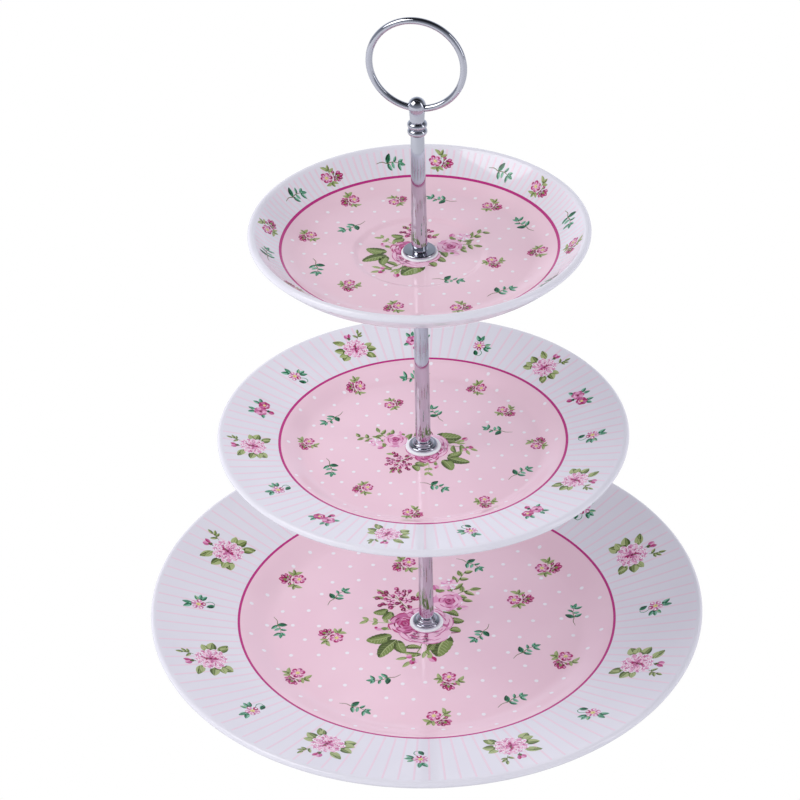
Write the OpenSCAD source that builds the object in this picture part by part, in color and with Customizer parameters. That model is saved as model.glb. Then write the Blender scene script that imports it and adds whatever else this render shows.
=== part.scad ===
// Three-tier cake stand: three porcelain plates on one screwed-together centre post,
// with a wire ring on top to carry it by. The post's axis is Z and the table is at z = 0.

/* [Plates] */
// Radius of the bottom plate
bottom_edge_r = 135; // [125:1:145]
// Radius of the middle plate
middle_edge_r = 96.6; // [90:0.2:105]
// Radius of the top plate
top_edge_r = 76.8; // [72:0.2:84]
// Thickness of every plate at its centre
plate_t = 4; // [3.5:0.1:4.5]
// Radius of the hole in the middle of every plate
plate_hole_r = 3; // [2.95:0.01:3.2]
// Radius of the rounded lip round every plate
lip_r = 1.8; // [1.4:0.1:2]
// Height of the bottom plate's foot ring, which leaves room for the screw head
base_foot_h = 6; // [5.5:0.1:8]
// Height of the foot ring under the two upper plates
tier_foot_h = 3.5; // [2:0.1:5]

/* [Post] */
// Distance from one plate to the next
tier_pitch = 106.5; // [90:0.5:130]
// Length of the top post
upper_post_len = 56; // [40:1:90]
// Radius of a post at its lower end
post_base_r = 3.65; // [3.5:0.05:4]
// Radius of a post at its upper end
post_top_r = 3.1; // [3:0.05:3.5]
// Height of the stepped feet of the lower and middle posts
step_foot_h = 2.9; // [2.7:0.1:3.6]
// Radius of the stepped feet
step_foot_r = 6.8; // [6.2:0.1:7.5]
// Height of the disc foot of the top post
disc_foot_h = 3.5; // [3:0.1:4.5]
// Radius of the disc foot
disc_foot_r = 7.6; // [6.8:0.1:8]

/* [Fasteners] */
// Radius of the screw and the studs over their threads
thread_r = 2; // [1.9:0.05:2.05]
// Gap between a thread and the hole that it screws into
thread_gap = 0.05; // [0.02:0.01:0.1]
// Length of stud or screw that is screwed into a post
thread_grip = 11; // [9:0.5:14]
// Radius of the gaskets above and below the plates
gasket_r = 8.3; // [8.1:0.1:9]
// Thickness of a gasket
gasket_t = 1; // [0.8:0.1:1.4]
// Gap between a gasket's collar and the hole in the plate
collar_gap = 0.07; // [0.03:0.01:0.1]
// Radius of the steel washers
washer_r = 9; // [8.3:0.1:10]
// Thickness of the steel washers
washer_t = 1; // [0.8:0.1:1.2]
// Radius of the bottom screw's head
head_r = 4; // [3.6:0.1:4.5]
// Height of the bottom screw's head
head_h = 2.6; // [2:0.1:3]

/* [Handle] */
// Radius of the carrying ring, to the middle of its wire
ring_r = 20.9; // [18:0.1:26]
// Radius of the ring's wire
wire_r = 1.5; // [1.2:0.05:1.6]
// Turn of the ring about the post, clockwise from above
ring_turn = 13.8; // [0:0.1:90]
// Radius of the dome that holds the ring
dome_r = 3.95; // [3.8:0.05:5]
// Radius of the two beads under the dome
bead_r = 4.4; // [4:0.1:5]
// Half the height of one bead
bead_half_h = 1.65; // [1.4:0.05:1.8]

/* [Hidden] */

chrome = "silver";
steel = "gainsboro";
porcelain = "mistyrose";
gasket_white = "white";
$fn = 96;

// Clearance of the gaskets and washers round a stud
pass_r = thread_r + 0.2;
tapped_r = thread_r + thread_gap;
collar_len = 1.8;
curve_steps = 12;
lip_steps = 10;
round_steps = 6;

// The stack, from the table up
bottom_under_z = base_foot_h;
bottom_top_z = bottom_under_z + plate_t;
lower_foot_z = bottom_top_z + gasket_t;
lower_post_z = lower_foot_z + step_foot_h;
middle_top_z = bottom_top_z + tier_pitch;
middle_under_z = middle_top_z - plate_t;
lower_post_end = middle_under_z - gasket_t - washer_t;
middle_foot_z = middle_top_z + gasket_t;
middle_post_z = middle_foot_z + step_foot_h;
top_top_z = middle_top_z + tier_pitch;
top_under_z = top_top_z - plate_t;
middle_post_end = top_under_z - gasket_t - washer_t;
upper_foot_z = top_top_z + gasket_t;
upper_post_z = upper_foot_z + disc_foot_h;
finial_z = upper_post_z + upper_post_len;

// The finial, above its own base
neck_z = 4 * bead_half_h;
neck_r = 3.2;
neck_end_z = 12.6;
neck_end_r = 3.65;
dome_z = 14;
finial_tap_depth = 8;
ring_centre_z = finial_z + 12.8 + ring_r;
braze_gap = 0.03;

// Smooth rise from a flat start to height h, with slope m over the last point
function rise(t, h, m) = (3 * t * t - 2 * t * t * t) * h + (t * t * t - t * t) * m;
// Slope of that rise, for a stretch of the given width
function rise_slope(t, h, m, w) = ((6 * t - 6 * t * t) * h + (3 * t * t - 2 * t) * m) / w;
// A point of a curve, moved down its own normal by d
function drop(p, slope, d) = [p[0] + d * sin(atan(slope)), p[1] - d * cos(atan(slope))];
// Points of an arc from angle a to angle b
function arc(c, r, a, b, n) =
    [for (i = [0 : n]) c + r * [cos(a + (b - a) * i / n), sin(a + (b - a) * i / n)]];

// One plate, with the top of its well at z = 0: a flat well, the curve up to the coloured
// line, the rim and its rounded lip, and a foot ring under the well.
// slopes are the rim's rise per length at the line and at the edge.
module plate(well_r, line_r, edge_r, line_z, slopes, foot_r, foot_h, step_r, step_h) {
    lip_a = atan(slopes[1]);
    rim_end = edge_r - lip_r * (1 + sin(lip_a));
    rim_w = rim_end - line_r;
    curve_w = line_r - well_r;
    curve_h = line_z - step_h;
    steps = [for (i = [0 : curve_steps]) i / curve_steps];
    function curve_pt(t) = [well_r + t * curve_w, step_h + rise(t, curve_h, slopes[0] * curve_w)];
    function curve_sl(t) = rise_slope(t, curve_h, slopes[0] * curve_w, curve_w);
    function rim_sl(t) = slopes[0] + (slopes[1] - slopes[0]) * t;
    function rim_pt(t) = [line_r + t * rim_w, line_z + t * rim_w * (slopes[0] + rim_sl(t)) / 2];
    function wall(p) = plate_t + (2 * lip_r - plate_t) * (p[0] - well_r) / (rim_end - well_r);
    upper = concat(
        [for (t = steps) curve_pt(t)],
        [for (t = steps) if (t > 0) rim_pt(t)]);
    lower = concat(
        [for (t = steps) if (t < 1) drop(rim_pt(1 - t), rim_sl(1 - t), wall(rim_pt(1 - t)))],
        [for (t = steps) drop(curve_pt(1 - t), curve_sl(1 - t), wall(curve_pt(1 - t)))]);
    lip_c = drop(rim_pt(1), slopes[1], lip_r);
    centre = step_r > 0
        ? [[plate_hole_r, 0], [step_r, 0], [step_r + 1.5, 0.25 * step_h],
           [step_r + 2.5, 0.75 * step_h], [step_r + 4, step_h]]
        : [[plate_hole_r, 0]];
    lip = arc(lip_c, lip_r, 90 + lip_a, lip_a - 90, lip_steps);
    inner_lip = [for (i = [1 : lip_steps - 1]) lip[i]];
    rotate_extrude()
        polygon(concat(centre, upper, inner_lip, lower,
                       [[foot_r, -plate_t], [plate_hole_r, -plate_t]]));
    foot_ring(foot_r, foot_h);
}

// Foot ring under a plate: a wide root that tapers to a narrow, slightly rounded tread
module foot_ring(r, h) {
    root_w = 4.5;
    tread_w = 1.5;
    round_r = 0.8;
    tip = -plate_t - h;
    inner = [r - tread_w / 2, tip + round_r];
    outer = [r + tread_w / 2, tip + round_r];
    rotate_extrude()
        polygon(concat(
            [[r - root_w, -plate_t], [r - root_w, 0.5 - plate_t], [r + root_w, 0.5 - plate_t],
             [r + root_w, -plate_t]],
            arc(outer, round_r, 0, -90, round_steps),
            arc(inner, round_r, -90, -180, round_steps)));
}

module bottom_plate() {
    color(porcelain)
    translate([0, 0, bottom_top_z])
        plate(bottom_edge_r - 60, bottom_edge_r - 42.5, bottom_edge_r, 6.2, [0.23, 0.28],
              bottom_edge_r - 61.5, base_foot_h, 0, 0);
}

module middle_plate() {
    color(porcelain)
    translate([0, 0, middle_top_z])
        plate(middle_edge_r - 41.6, middle_edge_r - 29, middle_edge_r, 5.4, [0.2, 0.245],
              middle_edge_r - 43, tier_foot_h, 0, 0);
}

// The top plate is a saucer: its well has a shallow recess for a cup, and its rim is steep
module top_plate() {
    color(porcelain)
    translate([0, 0, top_top_z])
        plate(top_edge_r - 25.8, top_edge_r - 14.35, top_edge_r, 4.6, [0.5, 1.12],
              top_edge_r - 33.8, tier_foot_h, 27, 1);
}

// A gasket is a flat disc with a short collar that centres the plate on the stud.
// up is 1 where the collar stands up from the disc, and -1 where it hangs down.
module gasket(z, up) {
    rim = 0.3;
    color(gasket_white)
    translate([0, 0, z])
    difference() {
        union() {
            rotate_extrude()
                polygon([[0, 0], [gasket_r - rim, 0], [gasket_r, rim],
                         [gasket_r, gasket_t - rim], [gasket_r - rim, gasket_t], [0, gasket_t]]);
            translate([0, 0, up > 0 ? 0 : -collar_len])
                cylinder(r = plate_hole_r - collar_gap, h = gasket_t + collar_len);
        }
        translate([0, 0, -2 * collar_len])
            cylinder(r = pass_r, h = 4 * collar_len);
    }
}

module bottom_under_gasket() gasket(bottom_under_z - gasket_t, 1);
module bottom_top_gasket() gasket(bottom_top_z, -1);
module middle_under_gasket() gasket(middle_under_z - gasket_t, 1);
module middle_top_gasket() gasket(middle_top_z, -1);
module top_under_gasket() gasket(top_under_z - gasket_t, 1);
module top_top_gasket() gasket(top_top_z, -1);

module washer(z) {
    color(steel)
    translate([0, 0, z])
    difference() {
        cylinder(r = washer_r, h = washer_t);
        translate([0, 0, -washer_t])
            cylinder(r = pass_r, h = 3 * washer_t);
    }
}

module base_washer() washer(bottom_under_z - gasket_t - washer_t);
module middle_support_washer() washer(lower_post_end);
module top_support_washer() washer(middle_post_end);

// Domed head with a cross recess, below the bottom plate and clear of the table
module base_screw() {
    head_top = bottom_under_z - gasket_t - washer_t;
    slot_w = 0.9;
    slot_len = 4.6;
    slot_depth = 1.3;
    edge_h = 1;
    color(steel)
    difference() {
        union() {
            translate([0, 0, head_top])
                cylinder(r = thread_r, h = lower_post_z + thread_grip - head_top);
            rotate_extrude()
                polygon([[0, head_top - head_h], [0.55 * head_r, head_top - head_h],
                         [0.85 * head_r, head_top - head_h + 0.5],
                         [head_r, head_top - head_h + edge_h + 0.2], [head_r, head_top],
                         [0, head_top]]);
        }
        for (turn = [0, 90])
            rotate([0, 0, turn])
            translate([-slot_len / 2, -slot_w / 2, head_top - head_h - 1])
                cube([slot_len, slot_w, slot_depth + 1]);
    }
}

module stud(z, len) {
    tip = 0.4;
    color(steel)
    rotate_extrude()
        polygon([[0, z], [thread_r - tip, z], [thread_r, z + tip],
                 [thread_r, z + len - tip], [thread_r - tip, z + len], [0, z + len]]);
}

module middle_stud() stud(lower_post_end - thread_grip, middle_post_z - lower_post_end + 2 * thread_grip);
module upper_stud() stud(middle_post_end - thread_grip, upper_post_z - middle_post_end + 2 * thread_grip);
module finial_stud() stud(finial_z - thread_grip, thread_grip + finial_tap_depth);

// A tapered post, tapped at both ends. The ends are slightly rounded over.
module post(z, len, end_r, low_tap, high_tap) {
    edge = 0.3;
    color(chrome)
    difference() {
        rotate_extrude()
            polygon([[0, z], [post_base_r - edge, z], [post_base_r, z + edge],
                     [end_r, z + len - edge], [end_r - edge, z + len], [0, z + len]]);
        translate([0, 0, z - 1])
            cylinder(r = tapped_r, h = low_tap + 1);
        translate([0, 0, z + len - high_tap])
            cylinder(r = tapped_r, h = high_tap + 1);
    }
}

module lower_post()
    post(lower_post_z, lower_post_end - lower_post_z, post_top_r, thread_grip + 1.5, thread_grip + 1.5);
module middle_post()
    post(middle_post_z, middle_post_end - middle_post_z, post_top_r, thread_grip, thread_grip + 1.5);
module upper_post()
    post(upper_post_z, upper_post_len, post_top_r - 0.1, thread_grip, thread_grip);

// Foot of the lower and middle posts: a flat edge, a rounded shoulder and a raised boss
module step_foot(z) {
    boss_r = step_foot_r - 2;
    color(chrome)
    translate([0, 0, z])
    difference() {
        rotate_extrude()
            polygon(concat(
                [[0, 0], [step_foot_r, 0]],
                arc([step_foot_r - 0.9, 0.5], 0.9, 0, 90, round_steps),
                [[boss_r + 0.3, 1.5]],
                arc([boss_r - 0.8, 1.7], 0.8, 0, 90, round_steps),
                [[post_base_r + 0.1, step_foot_h], [0, step_foot_h]]));
        translate([0, 0, -1])
            cylinder(r = tapped_r, h = step_foot_h + 2);
    }
}

module lower_foot() step_foot(lower_foot_z);
module middle_foot() step_foot(middle_foot_z);

// Foot of the top post: a flat disc with a rounded edge and a hub a little thinner than the post
module upper_foot() {
    hub_r = post_base_r - 0.4;
    disc_t = 1.2;
    edge_r = 0.7;
    color(chrome)
    translate([0, 0, upper_foot_z])
    difference() {
        rotate_extrude()
            polygon(concat(
                [[0, 0], [disc_foot_r - 0.1, 0]],
                arc([disc_foot_r - edge_r, disc_t - edge_r], edge_r, 0, 90, round_steps),
                [[hub_r + 0.6, disc_t - 0.1], [hub_r, disc_t + 0.3],
                 [hub_r, disc_foot_h], [0, disc_foot_h]]));
        translate([0, 0, -1])
            cylinder(r = tapped_r, h = disc_foot_h + 2);
    }
}

module ring_solid(r) {
    translate([0, 0, ring_centre_z])
    rotate([90, 0, -ring_turn])
    rotate_extrude()
    translate([ring_r, 0])
        circle(r);
}

// Finial: two beads, a flaring neck and the dome that the ring passes through
module finial() {
    bead_c = bead_r - bead_half_h;
    dome_from = -asin((dome_z - neck_end_z) / dome_r);
    color(chrome)
    difference() {
        translate([0, 0, finial_z])
        difference() {
            rotate_extrude()
                polygon(concat(
                    [[0, 0]],
                    arc([bead_c, bead_half_h], bead_half_h, -90, 75, 2 * round_steps),
                    arc([bead_c, 3 * bead_half_h], bead_half_h, -75, 75, 2 * round_steps),
                    [[neck_r, neck_z], [neck_end_r, neck_end_z]],
                    arc([0, dome_z], dome_r, dome_from, 84, 2 * curve_steps),
                    [[0, dome_z + dome_r]]));
            translate([0, 0, -1])
                cylinder(r = tapped_r, h = finial_tap_depth + 1);
        }
        ring_solid(wire_r + braze_gap);
    }
}

module ring_handle() {
    color(chrome)
        ring_solid(wire_r);
}

bottom_plate();
bottom_under_gasket();
base_washer();
base_screw();
bottom_top_gasket();
lower_foot();
lower_post();
middle_support_washer();
middle_plate();
middle_under_gasket();
middle_top_gasket();
middle_foot();
middle_stud();
middle_post();
top_support_washer();
top_plate();
top_under_gasket();
top_top_gasket();
upper_foot();
upper_stud();
upper_post();
finial_stud();
finial();
ring_handle();
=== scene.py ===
"""Three-tier cake stand: printed porcelain plates on chrome posts, with a ring handle."""

import math
import random

import bmesh
import bpy
import numpy as np
from mathutils import Matrix, Vector


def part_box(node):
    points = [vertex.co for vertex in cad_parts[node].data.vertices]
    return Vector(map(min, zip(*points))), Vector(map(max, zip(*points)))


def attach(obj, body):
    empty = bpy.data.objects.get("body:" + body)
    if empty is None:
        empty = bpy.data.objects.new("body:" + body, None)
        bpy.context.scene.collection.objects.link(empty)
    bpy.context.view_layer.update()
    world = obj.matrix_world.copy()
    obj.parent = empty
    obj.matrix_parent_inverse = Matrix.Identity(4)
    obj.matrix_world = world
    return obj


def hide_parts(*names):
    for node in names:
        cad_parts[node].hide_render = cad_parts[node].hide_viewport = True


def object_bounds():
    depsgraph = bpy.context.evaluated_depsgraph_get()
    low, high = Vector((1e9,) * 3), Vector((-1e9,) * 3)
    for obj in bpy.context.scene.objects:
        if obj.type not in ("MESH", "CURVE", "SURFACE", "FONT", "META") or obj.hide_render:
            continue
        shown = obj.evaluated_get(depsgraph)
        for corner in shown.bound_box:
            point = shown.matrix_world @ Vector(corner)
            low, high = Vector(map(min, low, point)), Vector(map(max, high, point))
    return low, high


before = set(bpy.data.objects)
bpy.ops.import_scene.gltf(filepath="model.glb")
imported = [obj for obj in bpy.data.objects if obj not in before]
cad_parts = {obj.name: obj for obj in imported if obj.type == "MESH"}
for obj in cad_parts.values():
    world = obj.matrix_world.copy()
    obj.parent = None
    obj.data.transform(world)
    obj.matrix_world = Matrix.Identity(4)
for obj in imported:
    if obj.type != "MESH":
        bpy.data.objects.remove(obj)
cad_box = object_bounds()

MM = 0.001
PLATE_SEGMENTS = 256
ROD_SEGMENTS = 96
FITTING_SEGMENTS = 72
STUD_SEGMENTS = 36
# A print's height over the glaze, its root's depth under it, and the rise of each layer, in mm
PRINT_LIFT = 0.045
PRINT_ROOT = 0.03
LAYER_STEP = 0.009
scene = bpy.context.scene


def low(node):
    """Lowest height of a CAD part, in mm."""
    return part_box(node)[0][2] / MM


def high(node):
    """Highest height of a CAD part, in mm."""
    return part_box(node)[1][2] / MM


# ---------------------------------------------------------------- node helpers

def add_node(tree, kind, inputs=None, **settings):
    """One node, with its settings and its inputs: a socket is linked, anything else is a value."""
    made = tree.nodes.new(kind)
    for key, value in settings.items():
        setattr(made, key, value)
    for key, value in (inputs or {}).items():
        if isinstance(value, bpy.types.NodeSocket):
            tree.links.new(value, made.inputs[key])
        else:
            made.inputs[key].default_value = value
    return made


def linear(srgb):
    """An sRGB colour from 0 to 255 as scene-linear RGBA."""
    part = [c / 255 for c in srgb]
    return tuple(c / 12.92 if c <= 0.04045 else ((c + 0.055) / 1.055) ** 2.4 for c in part) + (1.0,)


def new_material(name):
    """A material with a principled shader: returns it, its tree, the shader and object coordinates."""
    made = bpy.data.materials.new(name)
    made.use_nodes = True
    tree = made.node_tree
    tree.nodes.clear()
    out = add_node(tree, "ShaderNodeOutputMaterial")
    shader = add_node(tree, "ShaderNodeBsdfPrincipled")
    tree.links.new(shader.outputs[0], out.inputs["Surface"])
    where = add_node(tree, "ShaderNodeTexCoord")
    return made, tree, shader, where.outputs["Object"]


def noise(tree, where, size_mm, detail=3.0, seed=0.0):
    """Noise whose blotches are about size_mm across."""
    shift = add_node(tree, "ShaderNodeMapping", {"Vector": where, "Location": (seed, seed * 0.7, -seed)})
    return add_node(tree, "ShaderNodeTexNoise", {
        "Vector": shift.outputs[0], "Scale": 1000.0 / size_mm, "Detail": detail, "Roughness": 0.55,
    }).outputs["Fac"]


def ramp(tree, value, from_low, from_high, to_low, to_high):
    """A value carried from one range over to another, and held at its ends."""
    return add_node(tree, "ShaderNodeMapRange", {
        "Value": value, "From Min": from_low, "From Max": from_high, "To Min": to_low, "To Max": to_high,
    }).outputs["Result"]


def spread(tree, fac, lowest, highest):
    """The middle of a noise stretched over a range."""
    return ramp(tree, fac, 0.3, 0.7, lowest, highest)


def clouded(tree, fac, colour, cloud):
    """Two colours drifting into each other with a noise."""
    return add_node(tree, "ShaderNodeMix", {
        "Factor": spread(tree, fac, 0.0, 1.0), "A": linear(colour), "B": linear(cloud),
    }, data_type="RGBA").outputs["Result"]


def bump(tree, height, depth_mm, strength, under=None):
    """A surface relief of a given depth, laid over another one if given."""
    inputs = {"Height": height, "Distance": depth_mm * MM, "Strength": strength}
    if under is not None:
        inputs["Normal"] = under
    return add_node(tree, "ShaderNodeBump", inputs).outputs["Normal"]


def glaze(name, colour, seed, cloud=None):
    """Fired glaze over a colour: a slow orange peel, faint hairline wear in the gloss."""
    made, tree, shader, where = new_material(name)
    shader.inputs["Base Color"].default_value = linear(colour)
    shader.inputs["IOR"].default_value = 1.52
    if cloud:
        tint = clouded(tree, noise(tree, where, 46, 2.0, seed), colour, cloud)
        tree.links.new(tint, shader.inputs["Base Color"])
    wear = noise(tree, where, 9, 6.0, seed + 3)
    tree.links.new(spread(tree, wear, 0.05, 0.12), shader.inputs["Roughness"])
    peel = bump(tree, noise(tree, where, 14, 1.0, seed + 5), 0.05, 0.35)
    grain = bump(tree, noise(tree, where, 0.9, 2.0, seed + 9), 0.004, 0.25, peel)
    tree.links.new(grain, shader.inputs["Normal"])
    return made


def ink(name, colour, seed):
    """A printed enamel colour under the same glaze, with the tiny unevenness of a transfer."""
    made, tree, shader, where = new_material("ink_" + name)
    shader.inputs["Base Color"].default_value = linear(colour)
    shader.inputs["IOR"].default_value = 1.5
    blots = noise(tree, where, 1.1, 4.0, seed)
    tree.links.new(spread(tree, blots, 0.1, 0.26), shader.inputs["Roughness"])
    tree.links.new(bump(tree, blots, 0.01, 0.3), shader.inputs["Normal"])
    return made


def metal(name, colour, gloss, seed, scratch_mm, depth_mm, along):
    """Plated or rolled metal, with fine drawing marks along (under 1) or round (over 1) the post."""
    made, tree, shader, where = new_material(name)
    shader.inputs["Base Color"].default_value = linear(colour)
    shader.inputs["Metallic"].default_value = 1.0
    smear = noise(tree, where, 7, 4.0, seed)
    tree.links.new(spread(tree, smear, *gloss), shader.inputs["Roughness"])
    drawn = add_node(tree, "ShaderNodeMapping", {"Vector": where, "Scale": (1.0, 1.0, along)})
    marks = noise(tree, drawn.outputs[0], scratch_mm, 3.0, seed + 2)
    tree.links.new(bump(tree, marks, depth_mm, 0.3), shader.inputs["Normal"])
    return made


def bare_porcelain():
    """Unglazed, gritty porcelain of a foot ring's tread, slightly soiled."""
    made, tree, shader, where = new_material("porcelain_bare_foot")
    grit = noise(tree, where, 0.35, 5.0, 2.0)
    dust = noise(tree, where, 6, 4.0, 7.0)
    tint = clouded(tree, dust, (226, 221, 212), (206, 199, 188))
    tree.links.new(tint, shader.inputs["Base Color"])
    tree.links.new(spread(tree, grit, 0.55, 0.8), shader.inputs["Roughness"])
    tree.links.new(bump(tree, grit, 0.05, 0.6), shader.inputs["Normal"])
    return made


def gasket_plastic():
    """Soft white moulded plastic that lets a little light in."""
    made, tree, shader, where = new_material("gasket_plastic")
    shader.inputs["Base Color"].default_value = linear((242, 243, 246))
    shader.inputs["Subsurface Weight"].default_value = 0.15
    shader.inputs["Subsurface Radius"].default_value = (0.001, 0.001, 0.001)
    skin = noise(tree, where, 0.6, 3.0, 5.0)
    tree.links.new(spread(tree, skin, 0.28, 0.45), shader.inputs["Roughness"])
    tree.links.new(bump(tree, skin, 0.01, 0.4), shader.inputs["Normal"])
    return made


WHITE_GLAZE = glaze("glaze_white", (228, 226, 233), 1, cloud=(224, 222, 230))
PINK_GLAZE = glaze("glaze_pink_ground", (238, 206, 217), 4, cloud=(235, 200, 213))
LINE_GLAZE = glaze("glaze_magenta_line", (186, 52, 128), 8)
BARE = bare_porcelain()
CHROME = metal("chrome_plate", (198, 200, 209), (0.03, 0.075), 3, 0.8, 0.0012, 0.04)
ZINC = metal("steel_zinc", (176, 178, 180), (0.26, 0.42), 6, 0.7, 0.01, 6.0)
GASKET = gasket_plastic()

INK_COLOURS = {
    "white": (240, 235, 240), "stripe": (233, 211, 223), "blush": (238, 194, 216),
    "pink": (224, 158, 194), "rose": (198, 104, 154), "magenta": (176, 48, 108),
    "burgundy": (128, 34, 74), "yellow": (226, 212, 138), "olive_light": (170, 182, 126),
    "olive": (124, 142, 80), "olive_dark": (80, 94, 50), "jade_light": (132, 188, 162),
    "jade": (66, 142, 104), "jade_dark": (32, 74, 52), "stem": (126, 124, 92),
}
INK_NAMES = list(INK_COLOURS)
INKS = [ink(name, colour, 11 + 2 * i) for i, (name, colour) in enumerate(INK_COLOURS.items())]


# ---------------------------------------------------------------- geometry trees

# The most finishes that one turned piece may have
ZONES = 4


def new_tree(name, sockets):
    """A geometry node group with named inputs; returns it, its input node and its output node."""
    tree = bpy.data.node_groups.new(name, "GeometryNodeTree")
    tree.interface.new_socket(name="Geometry", in_out="INPUT", socket_type="NodeSocketGeometry")
    for label, kind in sockets:
        tree.interface.new_socket(name=label, in_out="INPUT", socket_type="NodeSocket" + kind)
    tree.interface.new_socket(name="Geometry", in_out="OUTPUT", socket_type="NodeSocketGeometry")
    return tree, add_node(tree, "NodeGroupInput"), add_node(tree, "NodeGroupOutput")


def whole(tree, operation, a, b):
    """Whole-number arithmetic."""
    return add_node(tree, "FunctionNodeIntegerMath", {0: a, 1: b}, operation=operation).outputs[0]


def number(tree, operation, a, b=0.0):
    """Arithmetic with fractions."""
    return add_node(tree, "ShaderNodeMath", {0: a, 1: b}, operation=operation).outputs[0]


def stored(tree, name, kind):
    """A value that the mesh carries under a name."""
    return add_node(tree, "GeometryNodeInputNamedAttribute", {"Name": name}, data_type=kind).outputs[0]


def coloured(tree, shape, zone, slots):
    """The last nodes of a tree: each zone of the faces gets its material."""
    for k, slot in enumerate(slots):
        pick = add_node(tree, "FunctionNodeCompare", {2: zone, 3: k}, data_type="INT", operation="EQUAL")
        shape = add_node(tree, "GeometryNodeSetMaterial", {
            "Geometry": shape, "Selection": pick.outputs[0], "Material": slot,
        }).outputs[0]
    return shape


def lathe_tree():
    """Turns an outline, whose points are (radius, 0, height), once round the post's axis."""
    zones = [("Zone %d" % k, "Material") for k in range(ZONES)]
    tree, start, end = new_tree("lathe", [("Segments", "Int")] + zones)
    points = add_node(tree, "GeometryNodeAttributeDomainSize", {"Geometry": start.outputs["Geometry"]})
    segments = start.outputs["Segments"]
    rows = whole(tree, "ADD", segments, 1)
    grid = add_node(tree, "GeometryNodeMeshGrid", {
        "Size X": 1.0, "Size Y": 1.0, "Vertices X": points.outputs["Point Count"], "Vertices Y": rows,
    })
    index = add_node(tree, "GeometryNodeInputIndex").outputs[0]
    place = add_node(tree, "GeometryNodeInputPosition").outputs[0]
    sample = add_node(tree, "GeometryNodeSampleIndex", {
        "Geometry": start.outputs["Geometry"], "Value": place,
        "Index": whole(tree, "DIVIDE_FLOOR", index, rows),
    }, data_type="FLOAT_VECTOR", domain="POINT")
    split = add_node(tree, "ShaderNodeSeparateXYZ", {0: sample.outputs[0]})
    step = number(tree, "DIVIDE", 2 * math.pi, segments)
    angle = number(tree, "MULTIPLY", whole(tree, "MODULO", index, rows), step)
    turned = add_node(tree, "ShaderNodeCombineXYZ", {
        "X": number(tree, "MULTIPLY", split.outputs["X"], number(tree, "COSINE", angle)),
        "Y": number(tree, "MULTIPLY", split.outputs["X"], number(tree, "SINE", angle)),
        "Z": split.outputs["Z"],
    })
    round_shape = add_node(tree, "GeometryNodeSetPosition", {
        "Geometry": grid.outputs["Mesh"], "Position": turned.outputs[0],
    })
    zone = add_node(tree, "GeometryNodeSampleIndex", {
        "Geometry": start.outputs["Geometry"], "Value": stored(tree, "zone", "INT"),
        "Index": whole(tree, "DIVIDE_FLOOR", index, segments),
    }, data_type="INT", domain="POINT")
    kept = add_node(tree, "GeometryNodeStoreNamedAttribute", {
        "Geometry": round_shape.outputs[0], "Name": "zone", "Value": zone.outputs[0],
    }, data_type="INT", domain="FACE")
    closed = add_node(tree, "GeometryNodeMergeByDistance", {"Geometry": kept.outputs[0], "Distance": 1e-7})
    whole_shape = add_node(tree, "GeometryNodeRealizeInstances", {"Geometry": closed.outputs[0]})
    done = coloured(tree, whole_shape.outputs[0], stored(tree, "zone", "INT"),
                    [start.outputs["Zone %d" % k] for k in range(ZONES)])
    tree.links.new(done, end.inputs[0])
    return tree


def transfer_tree():
    """Lays a flat printed motif on a plate at every place, draped on the glaze."""
    slots = [("Ink " + name, "Material") for name in INK_NAMES]
    tree, start, end = new_tree("transfer", [("Motif", "Object"), ("Plate", "Object")] + slots)
    motif = add_node(tree, "GeometryNodeObjectInfo", {"Object": start.outputs["Motif"], "As Instance": True})
    plate = add_node(tree, "GeometryNodeObjectInfo", {"Object": start.outputs["Plate"]})
    spin = add_node(tree, "ShaderNodeCombineXYZ", {"Z": stored(tree, "turn", "FLOAT")})
    laid = add_node(tree, "GeometryNodeInstanceOnPoints", {
        "Points": start.outputs["Geometry"], "Instance": motif.outputs["Geometry"],
        "Rotation": spin.outputs[0], "Scale": stored(tree, "size", "FLOAT"),
    })
    real = add_node(tree, "GeometryNodeRealizeInstances", {"Geometry": laid.outputs[0]})
    place = add_node(tree, "GeometryNodeInputPosition").outputs[0]
    above = add_node(tree, "ShaderNodeVectorMath", {0: place, 1: (0.0, 0.0, 1.0)}, operation="ADD")
    ray = add_node(tree, "GeometryNodeRaycast", {
        "Target Geometry": plate.outputs["Geometry"], "Source Position": above.outputs[0],
        "Ray Direction": (0.0, 0.0, -1.0), "Ray Length": 5.0,
    })
    rise = add_node(tree, "ShaderNodeCombineXYZ", {"Z": stored(tree, "lift", "FLOAT")})
    hit = [o for o in ray.outputs if o.name == "Hit Position"][0]
    draped = add_node(tree, "GeometryNodeSetPosition", {
        "Geometry": real.outputs[0], "Position": hit, "Offset": rise.outputs[0],
    })
    done = coloured(tree, draped.outputs[0], stored(tree, "ink", "INT"),
                    [start.outputs["Ink " + name] for name in INK_NAMES])
    tree.links.new(done, end.inputs[0])
    return tree


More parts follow.
